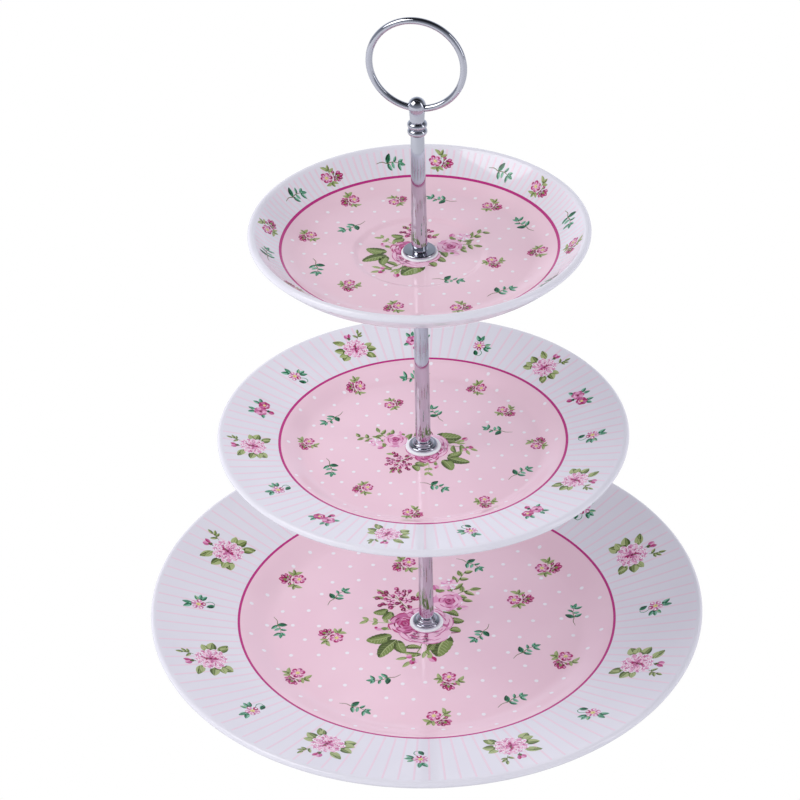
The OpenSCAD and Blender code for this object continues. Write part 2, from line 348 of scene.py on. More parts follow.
def thread_tree():
    """A helical thread: a small ridge profile swept along a spiral, its ends closed with caps."""
    tree, start, end = new_tree("thread", [
        ("Radius", "Float"), ("Pitch", "Float"), ("Length", "Float"), ("Bottom", "Float"),
        ("Ridge", "Float"), ("Material", "Material")])
    turns = number(tree, "DIVIDE", start.outputs["Length"], start.outputs["Pitch"])
    spiral = add_node(tree, "GeometryNodeCurveSpiral", {
        "Resolution": 18, "Rotations": turns, "Start Radius": start.outputs["Radius"],
        "End Radius": start.outputs["Radius"], "Height": start.outputs["Length"],
    })
    lift = add_node(tree, "ShaderNodeCombineXYZ", {"Z": start.outputs["Bottom"]})
    placed = add_node(tree, "GeometryNodeSetPosition", {
        "Geometry": spiral.outputs[0], "Offset": lift.outputs[0],
    })
    ridge = add_node(tree, "GeometryNodeCurvePrimitiveCircle", {
        "Resolution": 6, "Radius": start.outputs["Ridge"]}, mode="RADIUS")
    swept = add_node(tree, "GeometryNodeCurveToMesh", {
        "Curve": placed.outputs[0], "Profile Curve": ridge.outputs[0], "Fill Caps": True,
    })
    whole_shape = add_node(tree, "GeometryNodeRealizeInstances", {"Geometry": swept.outputs[0]})
    done = add_node(tree, "GeometryNodeSetMaterial", {
        "Geometry": whole_shape.outputs[0], "Material": start.outputs["Material"]})
    tree.links.new(done.outputs[0], end.inputs[0])
    return tree


LATHE = lathe_tree()
TRANSFER = transfer_tree()
THREAD = thread_tree()


def run_tree(name, seed_mesh, tree, values):
    """Evaluates a tree on a mesh and returns a plain mesh object at the origin."""
    holder = bpy.data.objects.new(name + "_seed", seed_mesh)
    scene.collection.objects.link(holder)
    mod = holder.modifiers.new("maker", "NODES")
    mod.node_group = tree
    for item in tree.interface.items_tree:
        if item.item_type == "SOCKET" and item.in_out == "INPUT" and item.name in values:
            mod[item.identifier] = values[item.name]
    graph = bpy.context.evaluated_depsgraph_get()
    graph.update()
    mesh = bpy.data.meshes.new_from_object(holder.evaluated_get(graph), depsgraph=graph)
    mesh.name = name
    holder.modifiers.remove(mod)
    bpy.data.objects.remove(holder)
    made = bpy.data.objects.new(name, mesh)
    scene.collection.objects.link(made)
    return made


def drop_spare_slots(mesh):
    """Keeps only the materials that some face uses."""
    used = sorted({p.material_index for p in mesh.polygons})
    slots = [mesh.materials[i] for i in used]
    where = {old: new for new, old in enumerate(used)}
    index = [where[p.material_index] for p in mesh.polygons]
    mesh.materials.clear()
    for slot in slots:
        mesh.materials.append(slot)
    mesh.polygons.foreach_set("material_index", index)


def finish_mesh(made, sharp=35.0):
    """Outward faces, clean smoothing, no left-over attributes."""
    mesh = made.data
    shape = bmesh.new()
    shape.from_mesh(mesh)
    if shape.calc_volume(signed=True) < 0:
        bmesh.ops.reverse_faces(shape, faces=shape.faces)
    shape.to_mesh(mesh)
    shape.free()
    for spare in ("zone", "ink", "lift", "turn", "size", "UVMap"):
        if spare in mesh.attributes:
            mesh.attributes.remove(mesh.attributes[spare])
    drop_spare_slots(mesh)
    mesh.polygons.foreach_set("use_smooth", [True] * len(mesh.polygons))
    mesh.set_sharp_from_angle(angle=math.radians(sharp))
    mesh.update()
    return made


def lathe(name, outline, materials, segments=ROD_SEGMENTS, sharp=35.0):
    """Turns an outline of (radius mm, height mm, zone) points into a closed piece."""
    seed_mesh = bpy.data.meshes.new(name + "_outline")
    seed_mesh.from_pydata([(r * MM, 0.0, z * MM) for r, z, _ in outline], [], [])
    zone = seed_mesh.attributes.new("zone", "INT", "POINT")
    zone.data.foreach_set("value", [k for _, _, k in outline])
    values = {"Segments": segments}
    for k in range(ZONES):
        values["Zone %d" % k] = materials[min(k, len(materials) - 1)]
    return finish_mesh(run_tree(name, seed_mesh, LATHE, values), sharp)


def arc(cx, cy, r, a, b, steps):
    """Points of an arc from angle a to b, in degrees."""
    angles = [math.radians(a + (b - a) * i / steps) for i in range(steps + 1)]
    return [(cx + r * math.cos(t), cy + r * math.sin(t)) for t in angles]


def plain(points, lift=0.0, zone=0):
    """Outline points with one zone, moved up by lift."""
    return [(r, z + lift, zone) for r, z in points]


def loop(points):
    """A closed outline, for a piece with a hole through it."""
    return points + points[:1]


def eased(points, size=0.12):
    """The outline with every sharp corner cut back a little, so that edges catch the light."""
    out = []
    count = len(points)
    for i, (r, z) in enumerate(points):
        before = Vector(points[i - 1])
        after = Vector(points[(i + 1) % count])
        here = Vector((r, z))
        a = before - here
        b = after - here
        if a.length < 1e-6 or b.length < 1e-6:
            continue
        bend = math.degrees(math.pi - a.angle(b))
        cut = min(size, a.length / 3, b.length / 3)
        if bend < 24 or cut < 0.02:
            out.append((r, z))
            continue
        out.append(tuple(here + a.normalized() * cut))
        out.append(tuple(here + (a.normalized() + b.normalized()) * cut * 0.3))
        out.append(tuple(here + b.normalized() * cut))
    return out


def keep(made, body, slot, *nodes):
    """Says which body a piece rides on and hides the CAD parts that it stands for; slot, its finish, is not
    used.
    """
    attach(made, body)
    if nodes:
        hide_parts(*nodes)
    return made


# ---------------------------------------------------------------- plates

PLATE_T = 4.0
LIP_R = 1.8
HOLE_R = 3.0
LINE_HALF = 0.62
# The zones of a plate's outline, in the order of its finishes
WHITE, PINK, LINE, TREAD = range(ZONES)


class Plate:
    """The outline of one plate, as in the CAD: well, curve, rim, lip, underside and foot ring."""

    def __init__(self, name, well_r, line_r, edge_r, line_z, slopes, foot_r, foot_h, step_r, step_h):
        self.well_r = well_r
        self.line_r = line_r
        self.line_z = line_z
        self.slopes = slopes
        self.foot_r = foot_r
        self.foot_h = foot_h
        self.step_r = step_r
        self.step_h = step_h
        self.lip_a = math.atan(slopes[1])
        self.rim_end = edge_r - LIP_R * (1 + math.sin(self.lip_a))
        self.top_z = low(name + "_plate") + foot_h + PLATE_T

    def top(self, r):
        """Height and slope of the upper side at a radius, outside the well's centre."""
        if r <= self.line_r:
            w = self.line_r - self.well_r
            h = self.line_z - self.step_h
            m = self.slopes[0] * w
            t = (r - self.well_r) / w
            z = self.step_h + (3 * t * t - 2 * t ** 3) * h + (t ** 3 - t * t) * m
            return z, ((6 * t - 6 * t * t) * h + (3 * t * t - 2 * t) * m) / w
        t = (r - self.line_r) / (self.rim_end - self.line_r)
        slope = self.slopes[0] + (self.slopes[1] - self.slopes[0]) * t
        return self.line_z + (r - self.line_r) * (self.slopes[0] + slope) / 2, slope

    def under(self, r):
        """The point of the underside below a radius of the upper side."""
        z, slope = self.top(r)
        wall = PLATE_T + (2 * LIP_R - PLATE_T) * (r - self.well_r) / (self.rim_end - self.well_r)
        a = math.atan(slope)
        return r + wall * math.sin(a), z - wall * math.cos(a)

    def outline(self):
        """Closed outline from the hole, out over the top, round the lip and back underneath."""
        inner = self.line_r - LINE_HALF
        outer = self.line_r + LINE_HALF
        points = [(HOLE_R, -0.25, WHITE), (HOLE_R + 0.08, -0.08, WHITE), (HOLE_R + 0.25, 0.0, PINK)]
        if self.step_r:
            for t in [i / 10 for i in range(11)]:
                ease = 3 * t * t - 2 * t ** 3
                points.append((self.step_r + 4 * t, self.step_h * ease, PINK))
        flat_from = self.step_r + 4 if self.step_r else HOLE_R + 0.25
        for r in np.linspace(flat_from, self.well_r, 14)[1:-1]:
            points.append((float(r), self.step_h, PINK))
        for r in np.linspace(self.well_r, inner, 22):
            points.append((float(r), self.top(r)[0], PINK))
        points[-1] = points[-1][:2] + (LINE,)
        points.append((self.line_r, self.line_z, LINE))
        for r in np.linspace(outer, self.rim_end, 34):
            points.append((float(r), self.top(r)[0], WHITE))
        slope = math.degrees(self.lip_a)
        lip_z = self.top(self.rim_end)[0]
        cx = self.rim_end + LIP_R * math.sin(self.lip_a)
        cz = lip_z - LIP_R * math.cos(self.lip_a)
        points += plain(arc(cx, cz, LIP_R, 90 + slope, slope - 90, 20)[1:-1])
        for r in np.linspace(self.rim_end, self.well_r, 46):
            x, z = self.under(r)
            if x > self.foot_r + 4.7 or z > -PLATE_T + 0.5:
                points.append((x, z, WHITE))
        points += self.foot()
        points += plain([(HOLE_R + 0.25, -PLATE_T), (HOLE_R + 0.08, -PLATE_T + 0.08),
                         (HOLE_R, -PLATE_T + 0.25)])
        return loop([(r, z + self.top_z, k) for r, z, k in points])

    def foot(self):
        """The foot ring: glazed flanks that sweep into the underside, and a bare tread."""
        def flank(t):
            """How far a flank stands from the ring's middle, a share t of the way up to the plate."""
            return (4.4 * t ** 2.2 + 0.75 + 0.8 * t) * 0.86

        tip = -PLATE_T - self.foot_h
        shares = [i / 10 for i in range(11)]
        outside = [(self.foot_r + flank(1 - t), -PLATE_T + 0.1 - (self.foot_h - 0.7) * t, WHITE)
                   for t in shares]
        tread = arc(self.foot_r + 0.3, tip + 0.5, 0.5, 0, -90, 6)
        tread += arc(self.foot_r - 0.3, tip + 0.5, 0.5, -90, -180, 6)
        inside = [(self.foot_r - flank(t), tip + 0.6 + (self.foot_h - 0.6) * t, WHITE) for t in shares]
        return outside[:-1] + [(r, z, TREAD) for r, z in tread] + inside[1:]


PLATES = {
    "bottom": Plate("bottom", 75, 92.5, 135, 6.2, (0.23, 0.28), 73.5, 6.0, 0, 0),
    "middle": Plate("middle", 55, 67.6, 96.6, 5.4, (0.2, 0.245), 53.6, 3.5, 0, 0),
    "top": Plate("top", 51, 62.45, 76.8, 4.6, (0.5, 1.12), 43, 3.5, 27, 1),
}
PLATE_BODY = {"bottom": "base", "middle": "middle_tier", "top": "top_tier"}

plate_pieces = {}
for plate_name, plate in PLATES.items():
    made = lathe(plate_name + "_plate_glazed", plate.outline(),
                 [WHITE_GLAZE, PINK_GLAZE, LINE_GLAZE, BARE], PLATE_SEGMENTS, 50.0)
    keep(made, PLATE_BODY[plate_name], "porcelain", plate_name + "_plate")
    plate_pieces[plate_name] = made


# ---------------------------------------------------------------- printed motifs

class Transfer:
    """A flat printed motif, in mm: closed petals, leaves, stems and spots, each in its inks."""

    def __init__(self):
        self.points = []
        self.lifts = []
        self.faces = []
        self.inks = []

    def shell(self, rows, ink_of, layer):
        """Closes a grid of points (rows along, columns across) into a thin shell."""
        along = len(rows)
        across = len(rows[0])
        first = len(self.points)
        count = along * across
        level = PRINT_LIFT + LAYER_STEP * layer
        for height in (level, -PRINT_ROOT):
            for row in rows:
                self.points += [(x, y) for x, y in row]
                self.lifts += [height] * across

        def at(i, j, side):
            """Number of the point in row i and column j, on the upper side (0) or the under side (1)."""
            return first + side * count + i * across + j

        for i in range(along - 1):
            for j in range(across - 1):
                shade = ink_of((i + 0.5) / (along - 1), 2 * (j + 0.5) / (across - 1) - 1)
                tone = INK_NAMES.index(shade)
                self.faces.append((at(i, j, 0), at(i, j + 1, 0), at(i + 1, j + 1, 0), at(i + 1, j, 0)))
                self.faces.append((at(i, j, 1), at(i + 1, j, 1), at(i + 1, j + 1, 1), at(i, j + 1, 1)))
                self.inks += [tone, tone]
        rim = [(i, 0) for i in range(along - 1)]
        rim += [(along - 1, j) for j in range(across - 1)]
        rim += [(i, across - 1) for i in range(along - 1, 0, -1)]
        rim += [(0, j) for j in range(across - 1, 0, -1)]
        edge = INK_NAMES.index(ink_of(0.5, 0.9))
        for k, (i, j) in enumerate(rim):
            p, q = rim[(k + 1) % len(rim)]
            self.faces.append((at(i, j, 0), at(p, q, 0), at(p, q, 1), at(i, j, 1)))
            self.inks.append(edge)

    def blade(self, root, tip, width, inks, bend=0.0, belly=0.45, full=0.8, layer=0, ruffle=0.0,
              waves=5, steps=9):
        """A leaf or petal from root to tip. inks is a name, two halves, or a rule of (along, across)."""
        ax, ay = root
        dx, dy = tip[0] - ax, tip[1] - ay
        length = math.hypot(dx, dy)
        ux, uy = dx / length, dy / length
        power = math.log(0.5) / math.log(belly)
        rows = []
        for i in range(steps + 1):
            t = 0.015 + 0.97 * i / steps
            swell = math.sin(math.pi * t ** power) ** full
            swell *= 1 + ruffle * math.sin(waves * 2 * math.pi * t)
            half = max(width / 2 * swell, 0.03 * width)
            side = bend * length * math.sin(math.pi * t)
            cx = ax + dx * t - uy * side
            cy = ay + dy * t + ux * side
            rows.append([(cx - uy * half * s, cy + ux * half * s) for s in (-1, -0.5, 0, 0.5, 1)])

        def rule(u, v):
            """The ink at a share u of the length and v of the half width."""
            if callable(inks):
                return inks(u, v)
            if isinstance(inks, str):
                return inks
            return inks[0] if v < 0 else inks[1]
        self.shell(rows, rule, layer)

    def ray(self, centre, angle, r0, r1, width, inks, **more):
        """A blade along a ray from a centre."""
        c, s = math.cos(math.radians(angle)), math.sin(math.radians(angle))
        self.blade((centre[0] + r0 * c, centre[1] + r0 * s), (centre[0] + r1 * c, centre[1] + r1 * s),
                   width, inks, **more)

    def stem(self, through, width, inks, layer=0, steps=5):
        """A thin line through points, thinner at its ends."""
        pts = [Vector(p) for p in through]
        pts = [2 * pts[0] - pts[1]] + pts + [2 * pts[-1] - pts[-2]]
        path = []
        for k in range(1, len(pts) - 2):
            a, b, c, d = pts[k - 1:k + 3]
            for i in range(steps):
                t = i / steps
                path.append(0.5 * (2 * b + (c - a) * t + (2 * a - 5 * b + 4 * c - d) * t * t
                                   + (3 * b - a - 3 * c + d) * t ** 3))
        path.append(pts[-2])
        rows = []
        for i, p in enumerate(path):
            q = path[min(i + 1, len(path) - 1)] - path[max(i - 1, 0)]
            q.normalize()
            half = width / 2 * (0.55 + 0.45 * math.sin(math.pi * i / (len(path) - 1)))
            rows.append([(p.x + q.y * half, p.y - q.x * half), (p.x - q.y * half, p.y + q.x * half)])
        self.shell(rows, lambda u, v: inks, layer)

    def crescent(self, centre, radius, a0, a1, thick, inks, layer=0, steps=8):
        """A curved stroke round a centre, thick in the middle."""
        rows = []
        for i in range(steps + 1):
            a = math.radians(a0 + (a1 - a0) * i / steps)
            half = thick / 2 * (0.12 + 0.88 * math.sin(math.pi * i / steps))
            rows.append([(centre[0] + (radius + s * half) * math.cos(a),
                          centre[1] + (radius + s * half) * math.sin(a)) for s in (1, -1)])
        self.shell(rows, lambda u, v: inks, layer)

    def spot(self, centre, radius, inks, layer=0, sides=10):
        """A small round spot."""
        level = PRINT_LIFT + LAYER_STEP * layer
        first = len(self.points)
        for height in (level, -PRINT_ROOT):
            for k in range(sides):
                a = 2 * math.pi * k / sides
                self.points.append((centre[0] + radius * math.cos(a), centre[1] + radius * math.sin(a)))
                self.lifts.append(height)
        tone = INK_NAMES.index(inks)
        ring = list(range(sides))
        self.faces.append(tuple(first + k for k in ring))
        self.faces.append(tuple(first + sides + k for k in reversed(ring)))
        self.inks += [tone, tone]
        for k in ring:
            n = (k + 1) % sides
            self.faces.append((first + n, first + k, first + sides + k, first + sides + n))
            self.inks.append(tone)

    def mesh(self, name, clear_r=0.0):
        """The motif as a mesh at z = 0, with its ink and lift kept as attributes."""
        made = bpy.data.meshes.new(name)
        made.from_pydata([(x * MM, y * MM, 0.0) for x, y in self.points], [], self.faces)
        tone = made.attributes.new("ink", "INT", "FACE")
        tone.data.foreach_set("value", self.inks)
        lift = made.attributes.new("lift", "FLOAT", "POINT")
        lift.data.foreach_set("value", [z * MM for z in self.lifts])
        if clear_r:
            shape = bmesh.new()
            shape.from_mesh(made)
            hidden = [v for v in shape.verts if math.hypot(v.co.x, v.co.y) < clear_r * MM]
            bmesh.ops.delete(shape, geom=hidden, context="VERTS")
            open_edges = [e for e in shape.edges if e.is_boundary]
            bmesh.ops.holes_fill(shape, edges=open_edges, sides=0)
            shape.to_mesh(made)
            shape.free()
        return made


def polar(r, angle, turn=0.0):
    """A place at a radius and angle, with the turn of what stands there."""
    a = math.radians(angle)
    return r * math.cos(a), r * math.sin(a), turn


def between(a, b, t):
    """The place a share t of the way from a to b."""
    return a[0] + (b[0] - a[0]) * t, a[1] + (b[1] - a[1]) * t


def place(name, plate_name, motif, places, clear_r=0.0):
    """Prints a motif on a plate at places (x mm, y mm, turn in degrees, size)."""
    motif_object = bpy.data.objects.new(name + "_motif", motif.mesh(name + "_motif", clear_r))
    scene.collection.objects.link(motif_object)
    points = bpy.data.meshes.new(name + "_places")
    points.from_pydata([(x * MM, y * MM, 0.0) for x, y, _, _ in places], [], [])
    turn = points.attributes.new("turn", "FLOAT", "POINT")
    turn.data.foreach_set("value", [math.radians(t) for _, _, t, _ in places])
    size = points.attributes.new("size", "FLOAT", "POINT")
    size.data.foreach_set("value", [s for _, _, _, s in places])
    values = {"Ink " + label: made for label, made in zip(INK_NAMES, INKS)}
    values["Motif"] = motif_object
    values["Plate"] = plate_pieces[plate_name]
    made = run_tree(name, points, TRANSFER, values)
    bpy.data.objects.remove(motif_object)
    finish_mesh(made, 60.0)
    return keep(made, PLATE_BODY[plate_name], "porcelain")


def footprint(motif, places):
    """Where the motif's ink lies on the plate, in mm, for keeping the dots clear of it."""
    flat = np.array(motif.points)
    out = []
    for x, y, turn, size in places:
        a = math.radians(turn)
        c, s = math.cos(a) * size, math.sin(a) * size
        out.append(np.stack([x + flat[:, 0] * c - flat[:, 1] * s,
                             y + flat[:, 0] * s + flat[:, 1] * c], 1))
    return np.concatenate(out)


def leaf(motif, root, tip, width, tones, layer=0, bend=0.0, full=0.75, ruffle=0.0, rib=None):
    """A leaf in three tones, shaded down one edge, with a midrib."""
    def shade(u, v):
        """Dark down one edge, mid-tone to the midrib, light beyond it."""
        if v < -0.5:
            return tones[2] if 0.12 < u < 0.86 else tones[0]
        if v < 0:
            return tones[0]
        return tones[1] if u > 0.2 else tones[2]
    motif.blade(root, tip, width, shade, bend=bend, belly=0.44, full=full, layer=layer,
                ruffle=ruffle, waves=6, steps=14 if ruffle else 8)
    ax, ay = root
    dx, dy = tip[0] - ax, tip[1] - ay
    nx, ny = -dy * bend, dx * bend
    mid = (ax + dx * 0.5 + nx, ay + dy * 0.5 + ny)
    end = (ax + dx * 0.86 + nx * 0.4, ay + dy * 0.86 + ny * 0.4)
    motif.stem([root, mid, end], max(0.07 * width, 0.15), rib or tones[2], layer=layer + 1, steps=3)


OLIVE = ("olive", "olive_light", "olive_dark")
OLIVE_DEEP = ("olive_dark", "olive", "olive_light")
PALE = ("olive_light", "olive_light", "olive")
JADE = ("jade", "jade_light", "jade_dark")
JADE_DEEP = ("jade_dark", "jade", "jade_light")
NIGHT = ("jade_dark", "jade_dark", "jade")
BROAD = ("olive", "olive", "olive_dark")
BROAD_DEEP = ("olive_dark", "olive", "olive_dark")


def rose_heart(motif, centre, r, layer, draw):
    """The curled heart of a rose: short dark strokes closing round the middle."""
    cx, cy = centre
    motif.spot(centre, r * 0.42, "rose", layer=layer, sides=12)
    for k in range(7):
        a = k * 51 + draw.uniform(-9, 9)
        tone = ("magenta", "burgundy", "rose")[k % 3]
        motif.crescent((cx, cy), r * (0.2 + 0.055 * k), a, a + 105, r * 0.13, tone, layer=layer + 1)
    motif.spot((cx + r * 0.02, cy), r * 0.11, "burgundy", layer=layer + 2, sides=8)


def open_rose(motif, centre, r, draw, heart=None, layer=4):
    """A full rose: broad pale outer petals, smaller deeper ones, then the curled heart."""
    heart = heart or centre
    shades = [("blush", "pink"), ("pink", "blush"), ("blush", "blush")]
    for k in range(8):
        a = 45 * k + draw.uniform(-8, 8)

        def outer_inks(u, v, pair=shades[k % 3]):
            if u > 0.9 and v < 0:
                return "white"
            return pair[0] if v < 0.3 else pair[1]
        motif.ray(centre, a, 0.1 * r, r * draw.uniform(0.94, 1.06), r * 0.86, outer_inks,
                  belly=0.66, full=0.55, layer=layer + (k % 2), ruffle=0.04, waves=2, steps=10)
    for k in range(7):
        a = 51 * k + 20 + draw.uniform(-9, 9)

        def middle_inks(u, v, tone="pink" if k % 2 else "blush"):
            if u < 0.34:
                return "magenta"
            return "rose" if u < 0.5 else tone
        motif.ray(heart, a, 0.08 * r, r * 0.68, r * 0.56, middle_inks, belly=0.64, full=0.6,
                  layer=layer + 2 + (k % 2), steps=9)
        motif.crescent(heart, r * 0.62, a - 24, a + 20, r * 0.09, "magenta" if k % 2 else "rose",
                       layer=layer + 4)
        motif.crescent(centre, r * 0.93, a - 18, a + 14, r * 0.05, "rose", layer=layer + 2)
    for k in range(6):
        a = 60 * k + draw.uniform(-9, 9)

        def inner_inks(u, v, k=k):
            if u < 0.4:
                return "magenta"
            return "rose" if (k + (v > 0)) % 2 else "pink"
        motif.ray(heart, a, 0.04 * r, r * 0.42, r * 0.4, inner_inks, belly=0.64, full=0.6,
                  layer=layer + 4 + (k % 2), steps=7)
    rose_heart(motif, heart, r * 0.62, layer + 6, draw)


def bud(motif, root, tip, width, tones=("magenta", "rose"), calyx="olive", layer=1):
    """A closed bud with a small calyx at its root."""
    motif.blade(root, tip, width, tones, belly=0.58, full=0.7, layer=layer, steps=7)
    ax, ay = root
    dx, dy = tip[0] - ax, tip[1] - ay
    motif.blade((ax - dx * 0.12, ay - dy * 0.12), (ax + dx * 0.42, ay + dy * 0.42), width * 0.62,
                calyx, belly=0.4, layer=layer + 1, steps=5)


def rim_rose():
    """Ruffled rose with olive leaves, a bud and a light sprig; +y points to the plate's edge."""
    motif = Transfer()
    draw = random.Random(7)
    leaf(motif, (-6.2, -3.4), (-11.2, -7.6), 5.6, OLIVE)
    leaf(motif, (-6.6, 0.0), (-13.4, 2.4), 4.8, OLIVE)
    leaf(motif, (-6.0, -3.0), (-12.4, -3.4), 4.2, PALE, layer=1)
    leaf(motif, (-4.6, 6.0), (-11.6, 9.8), 4.0, OLIVE_DEEP)
    leaf(motif, (-4.4, 6.2), (-10.2, 7.2), 3.4, PALE, layer=1)
    leaf(motif, (4.6, -5.0), (9.6, -11.0), 4.6, OLIVE_DEEP)
    leaf(motif, (5.4, -5.4), (7.2, -10.6), 3.6, OLIVE, layer=1)
    leaf(motif, (6.2, -1.4), (12.6, -4.2), 5.2, OLIVE)
    leaf(motif, (6.2, 0.2), (11.8, 1.4), 3.6, PALE, layer=1)
    # rings of petals: (count, reach, root radius, width, layer)
    rings = ((15, 8.3, 1.0, 3.5, 4), (13, 6.7, 0.8, 3.1, 6), (11, 5.1, 0.5, 2.7, 8),
             (8, 3.6, 0.3, 2.2, 10))
    mixes = (("blush", "pink", "blush", "pink"), ("pink", "blush", "rose", "blush"),
             ("pink", "blush", "rose", "blush"), ("rose", "pink", "magenta", "blush"))
    for (count, reach, r0, width, layer), mix in zip(rings, mixes):
        for k in range(count):
            a = 360 / count * k + draw.uniform(-8, 8)
            r1 = reach * draw.uniform(0.93, 1.05)
            tone = mix[k % 4]

            def ruffle_inks(u, v, tone=tone, root_tone="pink" if layer < 6 else "rose"):
                if u < 0.36:
                    return root_tone
                return "white" if u > 0.8 and v > 0 else tone
            motif.ray((0, 0), a, r0, r1, width, ruffle_inks, belly=0.72, full=0.5, layer=layer + k % 2,
                      ruffle=0.07, waves=3, steps=8)
            motif.crescent((0, 0), r1 * 0.86, a - 9, a + 11, 0.32, "rose", layer=layer + 2, steps=4)
    for k in range(17):
        a = draw.uniform(0, 360)
        r0 = draw.uniform(2.6, 5.6)
        motif.ray((0, 0), a, r0, r0 + draw.uniform(0.9, 1.9), 0.42, ("rose", "magenta", "rose")[k % 3],
                  layer=12, steps=4)
    motif.spot((0.2, 0.1), 0.75, "burgundy", layer=12, sides=10)
    motif.ray((0.2, 0.1), 70, 0.4, 2.6, 0.7, "olive_dark", layer=13, steps=4)
    motif.ray((0.0, 0.0), 250, 0.6, 2.4, 0.6, "burgundy", layer=13, steps=4)
    motif.spot((1.7, -1.2), 0.5, "magenta", layer=13, sides=8)
    motif.stem([(-1.0, 7.6), (-0.6, 9.0), (0.0, 10.2)], 0.45, "olive_dark", layer=1)
    bud(motif, (-0.2, 9.0), (-2.0, 13.2), 3.3, ("pink", "rose"), "olive_dark", layer=2)
    motif.blade((-0.1, 9.2), (1.2, 13.4), 2.0, ("rose", "magenta"), belly=0.6, layer=3, steps=7)
    motif.stem([(4.6, 7.4), (5.8, 9.6), (7.0, 12.8)], 0.4, "olive", layer=0)
    for root, tip in (((5.3, 8.6), (2.9, 11.6)), ((5.8, 9.6), (9.0, 9.4)), ((6.2, 10.4), (9.6, 12.2)),
                      ((6.6, 11.8), (7.9, 15.4))):
        leaf(motif, root, tip, 1.7, OLIVE, layer=1)
    return motif


def rim_sprig():
    """Small open blossom with an arched dark leaf towards the well and emerald leaves."""
    motif = Transfer()
    for a in (108, 178, 250, 322, 36):
        tones = ("pink", "rose") if a != 250 else ("magenta", "magenta")
        motif.ray((0, 0), a + 36, 0.5, 3.7, 2.7, tones, belly=0.66, full=0.6, layer=3, steps=6)
        motif.ray((0, 0), a + 36, 2.0, 3.5, 0.9, "white", belly=0.6, layer=4, steps=4)
    motif.spot((0, 0), 1.15, "yellow", layer=5)
    motif.spot((-0.3, 0.25), 0.35, "olive", layer=6, sides=6)
    motif.stem([(1.2, -2.6), (3.2, -5.2), (2.6, -7.4), (0.6, -7.6)], 0.38, "jade")
    leaf(motif, (0.9, -7.8), (-1.2, -4.0), 2.6, NIGHT, layer=1)
    leaf(motif, (3.0, -0.8), (6.8, -3.6), 2.4, JADE, layer=1)
    leaf(motif, (3.0, -0.4), (7.6, -0.6), 2.2, JADE, layer=1)
    leaf(motif, (2.9, 0.2), (6.2, 2.4), 2.0, PALE[:1] + JADE[:2], layer=1)
    leaf(motif, (-0.6, 3.2), (-3.6, 7.2), 2.5, JADE, layer=1)
    leaf(motif, (0.3, 3.3), (0.4, 8.0), 2.4, JADE_DEEP, layer=1)
    motif.stem([(0.0, 3.0), (-0.2, 4.0)], 0.5, "jade")
    return motif


def rim_pair():
    """Two blossoms side by side, a closed bud above them and leaves on both sides."""
    motif = Transfer()
    for centre, tones, r in (((-2.8, 0.4), ("pink", "rose"), 3.9),
                             ((3.2, 0.2), ("rose", "magenta"), 3.4)):
        for k in range(6):
            motif.ray(centre, 60 * k + 12, 0.3, r, 3.0, tones if k % 2 else tones[::-1],
                      belly=0.66, full=0.6, layer=3, steps=6)
            motif.crescent(centre, r * 0.84, 60 * k - 4, 60 * k + 26, 0.5, "magenta", layer=4, steps=4)
        motif.spot(centre, 0.85, "burgundy" if r > 3.5 else "yellow", layer=5, sides=8)
        motif.crescent(centre, r * 0.5, 190, 330, 0.6, "blush", layer=5)
    bud(motif, (-0.6, -3.0), (-1.6, -7.2), 3.0, ("rose", "magenta"), "jade_dark", layer=2)
    leaf(motif, (-4.4, -1.4), (-8.0, -3.2), 2.3, JADE)
    leaf(motif, (-4.0, 3.0), (-6.4, 6.8), 2.4, JADE)
    leaf(motif, (-2.6, 3.6), (-2.4, 7.8), 2.2, JADE_DEEP)
    leaf(motif, (4.6, 2.2), (7.8, 4.6), 2.3, JADE)
    leaf(motif, (3.6, 2.8), (4.2, 7.2), 2.2, JADE)
    return motif


